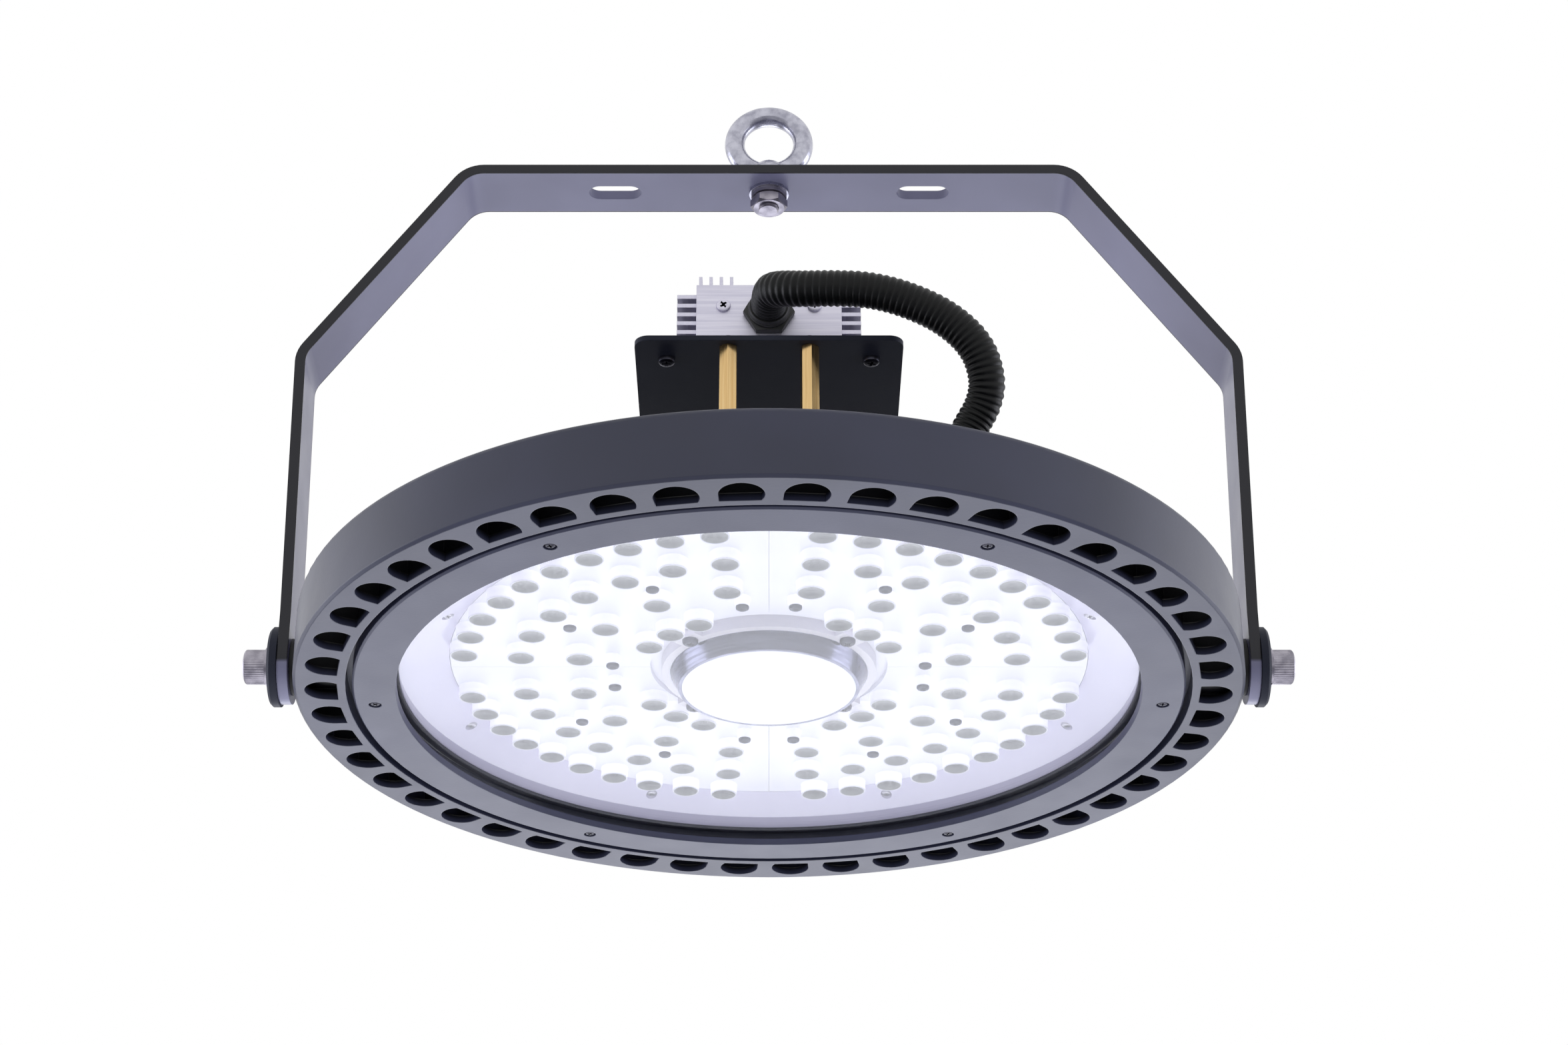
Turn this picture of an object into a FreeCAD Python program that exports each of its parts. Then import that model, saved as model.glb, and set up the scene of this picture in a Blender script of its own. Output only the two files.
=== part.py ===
"""High bay light: a die-cast LED lamp head with its driver on top, hung from a tilting yoke.

Millimetres. The origin is on the lamp's axis, in the plane of the bezel's lower face,
+Z points up to the eye bolt, the lamp shines towards -Z and the yoke tilts about X.
"""
import FreeCAD, Part
import Sketcher
import math
import os
import re

NODE_FOLDER = "parts"
DOWN = FreeCAD.Vector(0, 0, -1)
UP = FreeCAD.Vector(0, 0, 1)
SIDES = (("left", -1), ("right", 1))
QUADRANTS = (1, 2, 3, 4)

SIZES = (
    # The casting: rim, vent ring, pan and fins
    ("rim_radius", 175, "outside of the cast rim"),
    ("rim_height", 26, "rim, from the vent ring's face to its top edge"),
    ("rim_wall", 3, "wall of the rim"),
    ("rim_round", 2, "rounding of the rim's top edge"),
    ("ring_thick", 3, "vent ring"),
    ("seat_radius", 155.8, "bore that takes the bezel"),
    ("seat_depth", 7.2, "depth of that bore"),
    ("well_radius", 142.2, "bore round the gasket and reflector"),
    ("pan_radius", 158.3, "outside of the pan behind the vent ring"),
    ("pan_floor", 17.6, "mounting face of the pan"),
    ("pan_top", 22.1, "back of the pan"),
    ("vent_count", 48, "vents and fins round the head"),
    ("vent_start", -85.6, "angle of the first vent"),
    ("vent_inner", 158.8, "straight inner edge of a vent"),
    ("vent_outer", 170.8, "outermost point of a vent"),
    ("vent_round", 7.6, "radius of a vent's rounded outer end"),
    ("fin_thick", 2.2, "cooling fin"),
    ("fin_inner", 60, "inner end of the fins"),
    ("fin_knee", 120, "where the fins start to slope to the rim"),
    ("fin_top", 30, "height of the fins over the pan"),
    ("fin_rim_top", 24, "height of the fins at the rim"),
    ("post_radius", 5, "posts for the standoffs"),
    ("post_top", 34, "top of those posts"),
    # Fasteners
    ("bezel_screw_radius", 1.5, "shank of the bezel screws"),
    ("bezel_head_radius", 2.2, "head of the bezel screws"),
    ("bezel_head_height", 1.4, "head of the bezel screws"),
    ("bezel_screw_end", 12.5, "tip of the bezel screws"),
    ("bezel_screw_circle", 145.9, "radius of the bezel screw circle"),
    ("bezel_screw_count", 6, "bezel screws"),
    ("small_shank", 1.2, "shank of the lens and reflector screws"),
    ("small_head", 2, "head of the lens and reflector screws"),
    ("small_head_height", 1.2, "head of the lens and reflector screws"),
    ("tap_depth", 2.5, "how far these and the hub screws reach into the pan"),
    ("hole_play", 0.2, "radial play of a screw in its clearance hole"),
    ("thread_play", 0.05, "radial gap of a thread that is not cut"),
    ("seat_play", 0.3, "gap round a part that drops into a bore"),
    ("face_play", 0.1, "gap between faces that slide on each other"),
    # Bezel, gasket and glass
    ("bezel_radius", 153.4, "outside of the bezel"),
    ("bezel_inner", 137.6, "inner edge of the bezel's lip"),
    ("bezel_lip", 2.5, "thickness of the lip"),
    ("bezel_edge", 0.7, "chamfer of the bezel's outer edge"),
    ("glass_radius", 140.2, "cover glass"),
    ("glass_bottom", 3.1, "lower face of the cover glass"),
    ("glass_thick", 3, "cover glass"),
    ("gasket_wall", 1.5, "gasket outside the glass"),
    ("gasket_reach", 3.4, "how far the gasket's upper lip covers the glass"),
    ("gasket_lip", 2.3, "how far its lower lip covers the glass"),
    ("gasket_upper", 1.1, "thickness of the upper lip"),
    # Reflector and LED boards
    ("cone_lower_radius", 136.5, "reflector at the glass"),
    ("cone_upper_radius", 118.6, "reflector at the pan"),
    ("cone_flange", 1.5, "thickness of the reflector's flange"),
    ("cone_rise", 2, "straight inner end of the reflector above the boards"),
    ("cone_wall", 2.6, "width of the reflector's foot on the pan"),
    ("reflector_screw_circle", 124.5, "radius of the reflector screws"),
    ("reflector_screw_seat", 14, "seat of the reflector screws in the cone"),
    ("board_outer", 118.4, "outside of the LED boards"),
    ("board_inner", 44.2, "inside of the LED boards"),
    ("board_gap", 0.6, "half the gap between two boards"),
    ("board_thick", 1.2, "LED board"),
    ("lens_plate_thick", 0.8, "web of a lens plate"),
    ("lens_height", 4.3, "lens below the web"),
    ("lens_base", 5, "radius of a lens at the web"),
    ("lens_draft", 8, "slope of a lens's side"),
    ("lens_ring_a", 50.4, "innermost lens ring"),
    ("lens_ring_b", 71.2, "second lens ring"),
    ("lens_ring_c", 92.5, "third lens ring"),
    ("lens_ring_d", 113.3, "outermost lens ring"),
    # Hub
    ("hub_flange", 40, "flange of the hub collar on the pan"),
    ("hub_step", 12.8, "lower face of that flange and of the ears"),
    ("hub_base", 36.7, "hub collar at its flange"),
    ("hub_face", 6.6, "height of the hub's face"),
    ("hub_mouth", 33.6, "hub collar at its face"),
    ("hub_wall", 1.2, "hub collar"),
    ("hub_ledge", 1.5, "ledge that carries the hub plate"),
    ("hub_plate_thick", 1.5, "hub plate"),
    ("ear_reach", 43.5, "outer end of the hub's ears"),
    ("ear_width", 11, "hub ear"),
    ("ear_screw_circle", 40.5, "radius of the hub screws"),
    ("ear_screw_head", 2.9, "head of a hub screw"),
    ("ear_screw_height", 1.8, "head of a hub screw"),
    ("terminal_length", 34, "terminal block"),
    ("terminal_width", 16, "terminal block"),
    ("terminal_height", 7, "terminal block"),
    ("terminal_pitch", 10, "between its wire screws"),
    ("terminal_well", 2.4, "radius of its screw wells"),
    # Pivots
    ("pivot_height", 15.5, "pivot axis above the bezel's face"),
    ("pivot_boss_radius", 10.6, "boss in the rim at each pivot"),
    ("pivot_boss_inner", 157.5, "inner end of that boss"),
    ("pivot_boss_face", 175.2, "outer face of that boss"),
    ("pivot_radius", 4, "shank of the pivot bolts"),
    ("pivot_play", 0.08, "running clearance of the yoke on the bolts"),
    ("pivot_thread", 16, "bolt length inside the boss"),
    ("spacer_thick", 2.2, "spacer between rim and yoke"),
    ("disc_thick", 3.6, "large washer outside the yoke"),
    ("disc_radius", 15, "large washer"),
    ("spring_thick", 2.1, "spring washer"),
    ("spring_radius", 7.2, "spring washer"),
    ("cap_head_radius", 6.5, "head of the pivot bolts"),
    ("cap_head_length", 8, "head of the pivot bolts"),
    ("cap_head_edge", 0.8, "chamfer of that head"),
    ("socket_flats", 6, "hexagon socket across its flats"),
    ("socket_depth", 4, "hexagon socket"),
    # Yoke and eye bolt
    ("strap_width", 28, "yoke strap"),
    ("strap_thick", 4, "yoke strap"),
    ("ear_bend", 32, "height where the arms start to splay"),
    ("shoulder_x", 184.2, "outside of the arms at the shoulder"),
    ("shoulder_z", 144.9, "height of the shoulder"),
    ("crown_x", 121.9, "half the length of the crown"),
    ("crown_z", 232.6, "top of the crown"),
    ("bend_radius", 14, "outside radius of the four bends"),
    ("ear_round", 14, "radius of the arms' rounded ends"),
    ("slot_offset", 62.4, "centre of each slot in the crown"),
    ("slot_length", 21, "slot end to end"),
    ("slot_width", 9, "slot"),
    ("eye_outer", 36, "eye, outside diameter"),
    ("eye_inner", 20, "eye, inside diameter"),
    ("eye_rise", 19.4, "centre of the eye above the crown"),
    ("eye_collar_radius", 10, "collar of the eye bolt"),
    ("eye_collar_height", 6, "collar of the eye bolt"),
    ("eye_shank", 4, "radius of the eye bolt's thread"),
    ("eye_shank_length", 13, "thread below the collar"),
    ("washer_radius", 8, "flat washer under the crown"),
    ("washer_thick", 1.2, "flat washer under the crown"),
    ("nut_flats", 13, "nut across its flats"),
    ("nut_height", 4.5, "nut of the eye bolt"),
    # Driver shelf
    ("shelf_width", 94, "driver shelf, across"),
    ("shelf_length", 242, "driver shelf, front to back"),
    ("shelf_thick", 2, "driver shelf"),
    ("shelf_corner", 5, "corner radius of the shelf"),
    ("shelf_bottom", 84, "underside of the shelf"),
    ("standoff_x", 14.2, "standoffs, half their spacing across"),
    ("standoff_y", 116, "standoffs, half their spacing front to back"),
    ("standoff_flats", 6, "standoff across its flats"),
    ("standoff_stud", 1.5, "radius of the standoff's stud"),
    ("standoff_stud_length", 7, "stud in its post"),
    ("standoff_bore", 9, "tapped depth of a standoff"),
    ("shelf_screw_head", 2.8, "head of the shelf screws"),
    ("shelf_screw_height", 2, "head of the shelf screws"),
    ("shelf_screw_length", 8, "shelf screw below its head"),
    # Driver
    ("driver_half", 26, "half the width of the driver's body"),
    ("driver_reach", 33, "half its width over the side ribs"),
    ("driver_height", 33.5, "driver's body"),
    ("driver_length", 202, "driver over its end caps"),
    ("driver_wall", 2, "wall of the extrusion"),
    ("rib_count", 9, "side ribs"),
    ("rib_thick", 1.6, "side rib"),
    ("rib_pitch", 3.7, "between side ribs"),
    ("comb_count", 4, "fins of each comb on top"),
    ("comb_thick", 1.2, "comb fin"),
    ("comb_height", 5.4, "comb fin"),
    ("comb_pitch", 3.7, "between comb fins"),
    ("comb_inner", 12.9, "inner face of each comb"),
    ("cap_thick", 3, "end cap"),
    ("foot_length", 11.5, "mounting foot of an end cap"),
    ("foot_half", 41, "half the width of that foot"),
    ("foot_thick", 2.5, "mounting foot"),
    ("foot_screw_x", 36, "foot screws, half their spacing across"),
    ("foot_screw_y", 108, "foot screws, half their spacing front to back"),
    ("foot_screw_radius", 2, "shank of the foot screws"),
    ("foot_screw_head", 3.4, "head of the foot screws"),
    ("foot_screw_height", 2, "head of the foot screws"),
    ("cap_screw_x", 16.3, "cap screws, half their spacing"),
    ("cap_screw_low", 8, "lower cap screws above the shelf"),
    ("cap_screw_high", 24.6, "upper cap screws above the shelf"),
    ("cap_screw_radius", 1.4, "shank of the cap screws"),
    ("cap_screw_head", 2.6, "head of the cap screws"),
    ("cap_screw_rise", 1.2, "head of the cap screws"),
    ("core_length", 190, "potted circuit inside the driver"),
    # Glands
    ("gland_z", 21, "gland axis above the shelf"),
    ("gland_thread", 5.5, "radius of the gland threads"),
    ("gland_tail", 5, "thread behind the flange"),
    ("gland_flats", 16, "gland nut across its flats"),
    ("outlet_hex", 3, "nut of the driver's outlet gland"),
    ("outlet_collar", 3, "collar of the outlet gland"),
    ("inlet_hex", 5, "nut of the mains inlet gland"),
    ("inlet_collar", 11, "dome of the mains inlet gland"),
    ("inlet_bore", 3.6, "cable hole of the inlet gland"),
    ("inlet_bore_depth", 12, "depth of that hole"),
    ("collar_radius", 7.6, "collar of a gland"),
    ("lamp_gland_x", 66.5, "gland on the casting"),
    ("lamp_gland_y", -117, "gland on the casting"),
    ("lamp_gland_seat", 26, "top of its boss"),
    ("lamp_gland_boss", 12.5, "radius of its boss"),
    ("lamp_hex", 5, "nut of that gland"),
    ("lamp_collar", 6, "collar of that gland"),
    ("lead_hole", 3.5, "hole for the leads under the gland"),
    ("conduit_radius", 6.4, "corrugated conduit"),
)

# How the conduit runs, from the outlet gland's collar to the casting's gland. Only
# its two ends follow the sizes; the points between them are chosen by hand.
CONDUIT_BENDS = (
    (0, -116.5, 107),
    (3.5, -123, 104),
    (11, -127.5, 101),
    (22, -130, 99.7),
    (35, -131.5, 98.2),
    (48.5, -131.5, 94),
    (62, -130.5, 87),
    (72, -128.5, 77),
    (75.5, -124.5, 66),
    (74, -120.5, 58.5),
    (70, -118, 52),
)

# Angle of the first lens from the board's edge, lenses and step, ring by ring
LENS_RINGS = (
    ("lens_ring_a", 30, 3, 15),
    ("lens_ring_b", 12.1, 4, 22),
    ("lens_ring_c", 10.1, 7, 11.75),
    ("lens_ring_d", 9.3, 10, 7.93),
)
LENS_SIDES = 10

# Circle and angles of the four screws of one lens plate
LENS_SCREWS = ((58.5, 9.3), (58.5, 80.7), (82.6, 29.7), (82.6, 60.3))

doc = FreeCAD.newDocument("high_bay_light")
sheet = doc.addObject("Spreadsheet::Sheet", "Sizes")
ALIASES = {alias for alias, value, note in SIZES}
for row, (alias, value, note) in enumerate(SIZES, start=1):
    sheet.set(f"A{row}", note)
    sheet.set(f"B{row}", str(value))
    sheet.setAlias(f"B{row}", alias)
doc.recompute()
nodes = []


# Expressions. A size is written by its alias, and bound() adds the sheet's name.

def bound(text):
    """The expression with the sheet's name put before every alias."""
    def with_sheet(found):
        word = found.group()
        return f"Sizes.{word}" if word in ALIASES else word
    return re.sub(r"[a-z][a-z_]*", with_sheet, text)


def number(text):
    """The expression's value now."""
    return float(sheet.evalExpression(bound(text)))


def drive(thing, name, text):
    """Binds one property to the expression."""
    thing.setExpression(name, bound(text))


# Bodies, sketches and features

def new_body(label, several=False):
    """An empty body that becomes one node. A group of like fasteners holds several solids."""
    body = doc.addObject("PartDesign::Body", label)
    body.Label = label
    body.AllowCompound = several
    nodes.append(body)
    return body


def origin_feature(body, role):
    return next(f for f in body.Origin.OriginFeatures if f.Role == role)


def new_sketch(body, name, plane="XY_Plane", level=None, turn=None):
    """A sketch on one of the body's planes, raised by level and turned about its normal."""
    sketch = body.newObject("Sketcher::SketchObject", name)
    sketch.AttachmentSupport = [(origin_feature(body, plane), "")]
    sketch.MapMode = "FlatFace"
    if turn is not None:
        sketch.AttachmentOffset = FreeCAD.Placement(FreeCAD.Vector(), FreeCAD.Rotation(UP, 1))
        drive(sketch, "AttachmentOffset.Rotation.Angle", f"({turn}) * 1 deg")
    if level is not None:
        drive(sketch, "AttachmentOffset.Base.z", level)
    return sketch


def fix(sketch, kind, target, text):
    """A dimension from the sketch's origin to a point, or of a curve, bound to a size."""
    index = sketch.addConstraint(Sketcher.Constraint(kind, *target, number(text)))
    if any(word in ALIASES for word in re.findall(r"[a-z_]+", text)):
        drive(sketch, f"Constraints[{index}]", text)


def fix_point(sketch, edge, end, point):
    fix(sketch, "DistanceX", (-1, 1, edge, end), point[0])
    fix(sketch, "DistanceY", (-1, 1, edge, end), point[1])


def draw_polygon(sketch, points):
    """A closed outline of straight edges whose corners are expressions."""
    places = [FreeCAD.Vector(number(x), number(y), 0) for x, y in points]
    first = sketch.GeometryCount
    count = len(points)
    for index, place in enumerate(places):
        sketch.addGeometry(Part.LineSegment(place, places[(index + 1) % count]), False)
    for index in range(count):
        after = first + (index + 1) % count
        sketch.addConstraint(Sketcher.Constraint("Coincident", first + index, 2, after, 1))
        fix_point(sketch, first + index, 1, points[index])


def draw_circle(sketch, point, radius):
    place = FreeCAD.Vector(number(point[0]), number(point[1]), 0)
    edge = sketch.addGeometry(Part.Circle(place, UP, number(radius)), False)
    fix_point(sketch, edge, 3, point)
    fix(sketch, "Radius", (edge,), radius)


def draw_ngon(sketch, point, radius, sides, start=0):
    """A regular polygon by its circumscribed radius."""
    corners = []
    for index in range(sides):
        angle = start + 360 * index / sides
        corners.append((
            f"{point[0]} + ({radius}) * cos({angle} deg)",
            f"{point[1]} + ({radius}) * sin({angle} deg)",
        ))
    draw_polygon(sketch, corners)


def draw_rectangle(sketch, low, high):
    draw_polygon(sketch, (low, (high[0], low[1]), high, (low[0], high[1])))


def revolve(body, sketch):
    """Turns the sketch about its vertical axis into a full ring."""
    turned = body.newObject("PartDesign::Revolution", f"{sketch.Name}Turned")
    turned.Profile = sketch
    turned.ReferenceAxis = (sketch, ["V_Axis"])
    turned.Angle = 360
    return turned


def pad(body, sketch, length, symmetric=False, down=False, draft=None):
    block = body.newObject("PartDesign::Pad", f"{sketch.Name}Pad")
    block.Profile = sketch
    block.SideType = "Symmetric" if symmetric else "One side"
    block.Reversed = down
    drive(block, "Length", length)
    if draft:
        drive(block, "TaperAngle", f"({draft}) * 1 deg")
    return block


def pocket(body, sketch, length, symmetric=False, up=False):
    """A cut below the sketch, above it, or on both sides."""
    cut = body.newObject("PartDesign::Pocket", f"{sketch.Name}Pocket")
    cut.Profile = sketch
    cut.SideType = "Symmetric" if symmetric else "One side"
    cut.Reversed = up
    drive(cut, "Length", length)
    return cut


def polar(body, features, count, angle="360"):
    """Repeats features about the body's Z axis. Less than a full turn ends on the last copy."""
    pattern = body.newObject("PartDesign::PolarPattern", f"{features[0].Name}Ring")
    pattern.Originals = features
    pattern.Axis = (origin_feature(body, "Z_Axis"), [""])
    drive(pattern, "Angle", f"({angle}) * 1 deg")
    drive(pattern, "Occurrences", str(count))
    body.Tip = pattern
    return pattern


def row_of(body, feature, axis, count, pitch):
    pattern = body.newObject("PartDesign::LinearPattern", f"{feature.Name}Row")
    pattern.Originals = [feature]
    pattern.Direction = (origin_feature(body, axis), [""])
    pattern.Mode = "Spacing"
    drive(pattern, "Offset", pitch)
    drive(pattern, "Occurrences", count)
    body.Tip = pattern
    return pattern


def fillet(body, base, radius, wanted):
    """Rounds the edges of base that the test picks."""
    doc.recompute()
    edges = [f"Edge{i}" for i, edge in enumerate(base.Shape.Edges, 1) if wanted(edge)]
    rounded = body.newObject("PartDesign::Fillet", f"{base.Name}Round")
    rounded.Base = (base, edges)
    drive(rounded, "Radius", radius)
    return rounded


def turned_body(label, outline, plane="XZ_Plane"):
    """A body turned about its own Z axis from an outline of (radius, height) expressions."""
    body = new_body(label)
    sketch = new_sketch(body, f"{label}_outline", plane)
    draw_polygon(sketch, outline)
    revolve(body, sketch)
    return body


def ring_outline(inner, outer, low, high):
    return ((inner, low), (outer, low), (outer, high), (inner, high))


def discs(body, name, places, radius, level, length, down=False):
    """Round pads of one size at several places."""
    sketch = new_sketch(body, name, level=level)
    for place in places:
        draw_circle(sketch, place, radius)
    return pad(body, sketch, length, down=down)


def holes(body, name, places, radius, level, length, up=False):
    """Round holes of one size at several places, cut from level."""
    sketch = new_sketch(body, name, level=level)
    for place in places:
        draw_circle(sketch, place, radius)
    return pocket(body, sketch, length, up=up)


def four_corners(x, y):
    return [(f"{a} * {x}", f"{b} * {y}") for a in (-1, 1) for b in (-1, 1)]


def place_at(body, x=None, y=None, z=None):
    for axis, text in (("x", x), ("y", y), ("z", z)):
        if text is not None:
            drive(body, f"Placement.Base.{axis}", text)


def point_along(body, direction):
    """Turns the body so that its own +Z points in the given direction."""
    body.Placement = FreeCAD.Placement(body.Placement.Base, FreeCAD.Rotation(UP, direction))


# The casting

def draw_vent(sketch):
    """One vent, straight inside, round outside, with one sharp inner corner."""
    middle = "vent_outer - vent_round"
    low = number("vent_inner")
    high = number(middle)
    radius = number("vent_round")
    below = math.asin((high - low) / radius)
    centre = FreeCAD.Vector(0, high, 0)
    round_end = Part.ArcOfCircle(Part.Circle(centre, UP, radius), 0, math.pi + below)
    arc = sketch.addGeometry(round_end, False)
    corner = FreeCAD.Vector(radius, low, 0)
    inner = sketch.addGeometry(Part.LineSegment(round_end.EndPoint, corner), False)
    side = sketch.addGeometry(Part.LineSegment(corner, round_end.StartPoint), False)
    sketch.addConstraint(Sketcher.Constraint("Coincident", arc, 2, inner, 1))
    sketch.addConstraint(Sketcher.Constraint("Coincident", inner, 2, side, 1))
    sketch.addConstraint(Sketcher.Constraint("Tangent", side, 2, arc, 1))
    sketch.addConstraint(Sketcher.Constraint("Vertical", side))
    sketch.addConstraint(Sketcher.Constraint("Horizontal", inner))
    fix_point(sketch, arc, 3, ("0", middle))
    fix(sketch, "Radius", (arc,), "vent_round")
    fix(sketch, "DistanceY", (-1, 1, inner, 1), "vent_inner")


def make_housing():
    body = new_body("housing")
    section = new_sketch(body, "housing_section", "XZ_Plane")
    draw_polygon(section, (
        ("0", "pan_floor"),
        ("well_radius", "pan_floor"),
        ("well_radius", "seat_depth"),
        ("seat_radius", "seat_depth"),
        ("seat_radius", "0"),
        ("rim_radius - 1", "0"),
        ("rim_radius", "1"),
        ("rim_radius", "rim_height"),
        ("rim_radius - rim_wall", "rim_height"),
        ("rim_radius - rim_wall", "ring_thick"),
        ("pan_radius", "ring_thick"),
        ("pan_radius", "pan_top - 2"),
        ("pan_radius - 3", "pan_top"),
        ("0", "pan_top"),
    ))
    shell = revolve(body, section)
    edge_radius = number("rim_radius")
    top = number("rim_height")
    fillet(body, shell, "rim_round", lambda edge: (
        edge.Curve.TypeId == "Part::GeomCircle"
        and abs(edge.Curve.Radius - edge_radius) < 0.01
        and abs(edge.Curve.Center.z - top) < 0.01
    ))

    fin_sketch = new_sketch(body, "fin_section", "XZ_Plane")
    half_step = "180 / vent_count"
    fin_sketch.AttachmentOffset = FreeCAD.Placement(
        FreeCAD.Vector(), FreeCAD.Rotation(FreeCAD.Vector(0, 1, 0), 1))
    drive(fin_sketch, "AttachmentOffset.Rotation.Angle", f"(vent_start + {half_step}) * 1 deg")
    draw_polygon(fin_sketch, (
        ("fin_inner", "pan_top - 1"),
        ("pan_radius - 3.5", "pan_top - 1"),
        ("pan_radius - 0.5", "pan_top - 3"),
        ("pan_radius - 0.5", "ring_thick - 1"),
        ("rim_radius - rim_wall + 1", "ring_thick - 1"),
        ("rim_radius - rim_wall + 1", "fin_rim_top"),
        ("fin_knee", "fin_top"),
        ("fin_inner + 4", "fin_top"),
        ("fin_inner", "fin_top - 4"),
    ))
    fin = pad(body, fin_sketch, "fin_thick", symmetric=True)
    polar(body, [fin], "vent_count")

    discs(body, "standoff_posts", four_corners("standoff_x", "standoff_y"),
          "post_radius", "pan_top - 1", "post_top - pan_top + 1")
    gland_place = [("lamp_gland_x", "lamp_gland_y")]
    discs(body, "gland_boss", gland_place, "lamp_gland_boss",
          "pan_top - 1", "lamp_gland_seat - pan_top + 1")
    holes(body, "gland_clearing", gland_place, "lamp_gland_boss", "fin_top + 1",
          "fin_top + 1 - lamp_gland_seat")
    for side, sign in SIDES:
        boss = new_sketch(body, f"pivot_boss_{side}", "YZ_Plane", f"{sign} * pivot_boss_inner")
        draw_circle(boss, ("0", "pivot_height"), "pivot_boss_radius")
        pad(body, boss, "pivot_boss_face - pivot_boss_inner", down=sign < 0)

    vent = new_sketch(body, "vent_outline", level="-1", turn="vent_start - 90")
    draw_vent(vent)
    cut = pocket(body, vent, "ring_thick + 1", up=True)
    polar(body, [cut], "vent_count")

    for side, sign in SIDES:
        bore = new_sketch(body, f"pivot_bore_{side}", "YZ_Plane",
                          f"{sign} * (pivot_boss_face - pivot_thread - 0.5)")
        draw_circle(bore, ("0", "pivot_height"), "pivot_radius + thread_play")
        pocket(body, bore, "pivot_thread + 2", up=sign > 0)
    holes(body, "standoff_taps", four_corners("standoff_x", "standoff_y"),
          "standoff_stud + thread_play", "post_top + 1", "standoff_stud_length + 2")
    holes(body, "gland_tap", gland_place, "gland_thread + thread_play",
          "lamp_gland_seat + 1", "gland_tail + 1.5")
    holes(body, "lead_hole", gland_place, "lead_hole", "pan_floor - 1",
          "lamp_gland_seat - pan_floor + 1", up=True)
    tap = holes(body, "bezel_tap", [("bezel_screw_circle", "0")],
                "bezel_screw_radius + thread_play", "seat_depth - 1",
                "bezel_screw_end - seat_depth + 1.5", up=True)
    polar(body, [tap], "bezel_screw_count")
    small = holes(body, "small_taps", screw_places() + reflector_screw_places(),
                  "small_shank + thread_play", "pan_floor - 1", "tap_depth + 1.5", up=True)
    hub = holes(body, "hub_tap", ear_place(), "bezel_screw_radius + thread_play",
                "pan_floor - 1", "tap_depth + 1.5", up=True)
    polar(body, [small, hub], "4")


# What closes the lamp: bezel, gasket and glass

def make_bezel():
    body = turned_body("bezel_ring", (
        ("bezel_inner", "0"),
        ("bezel_radius - bezel_edge", "0"),
        ("bezel_radius", "bezel_edge"),
        ("bezel_radius", "seat_depth"),
        ("glass_radius + gasket_wall + seat_play", "seat_depth"),
        ("glass_radius + gasket_wall + seat_play", "bezel_lip"),
        ("bezel_inner - 0.4", "bezel_lip"),
    ))
    place = [("bezel_screw_circle", "0")]
    hole = holes(body, "bezel_hole", place, "bezel_screw_radius + hole_play",
                 "-1", "seat_depth + 2", up=True)
    sink = holes(body, "bezel_sink", place, "bezel_head_radius + hole_play",
                 "-1", "bezel_head_height + 1.2", up=True)
    polar(body, [hole, sink], "bezel_screw_count")

    screws = new_body("bezel_screws", several=True)
    head = discs(screws, "bezel_screw_head", place, "bezel_head_radius", "0.2",
                 "bezel_head_height")
    shank = discs(screws, "bezel_screw_shank", place, "bezel_screw_radius", "1",
                  "bezel_screw_end - 1")
    polar(screws, [head, shank], "bezel_screw_count")


def make_cover():
    glass_top = "glass_bottom + glass_thick"
    turned_body("glass_cover", (
        ("0", "glass_bottom"),
        ("glass_radius - 0.5", "glass_bottom"),
        ("glass_radius", "glass_bottom + 0.5"),
        ("glass_radius", f"{glass_top} - 0.5"),
        ("glass_radius - 0.5", glass_top),
        ("0", glass_top),
    ))
    turned_body("glass_gasket", (
        ("glass_radius - gasket_lip", "bezel_lip"),
        ("glass_radius + gasket_wall", "bezel_lip"),
        ("glass_radius + gasket_wall", f"{glass_top} + gasket_upper + thread_play"),
        ("glass_radius - gasket_reach", f"{glass_top} + gasket_upper + thread_play"),
        ("glass_radius - gasket_reach", f"{glass_top} + thread_play"),
        ("glass_radius + thread_play", f"{glass_top} + thread_play"),
        ("glass_radius + thread_play", "glass_bottom - thread_play"),
        ("glass_radius - gasket_lip", "glass_bottom - thread_play"),
    ))


# Reflector, LED boards and lenses

def reflector_screw_places():
    return [(f"reflector_screw_circle * cos({angle} deg)",
             f"reflector_screw_circle * sin({angle} deg)") for angle in (22.5, 67.5)]


def make_reflector():
    flange = "glass_bottom + glass_thick + gasket_upper + 2 * thread_play"
    body = turned_body("reflector_ring", (
        ("cone_lower_radius", flange),
        ("well_radius - seat_play", flange),
        ("well_radius - seat_play", f"{flange} + cone_flange"),
        ("cone_lower_radius + 0.8", f"{flange} + cone_flange"),
        ("cone_upper_radius + cone_wall", "pan_floor"),
        ("cone_upper_radius", "pan_floor"),
        ("cone_upper_radius", "pan_floor - cone_rise"),
    ))
    place = reflector_screw_places()
    hole = holes(body, "reflector_hole", place, "small_shank + hole_play",
                 "seat_depth", "pan_floor - seat_depth + 1", up=True)
    sink = holes(body, "reflector_sink", place, "small_head + hole_play",
                 "seat_depth", "reflector_screw_seat - seat_depth", up=True)
    polar(body, [hole, sink], "4")

    screws = new_body("reflector_screws", several=True)
    head = discs(screws, "reflector_screw_head", place, "small_head",
                 "reflector_screw_seat", "small_head_height", down=True)
    shank = discs(screws, "reflector_screw_shank", place, "small_shank",
                  "reflector_screw_seat", "pan_floor + tap_depth - reflector_screw_seat")
    polar(screws, [head, shank], "4")


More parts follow.
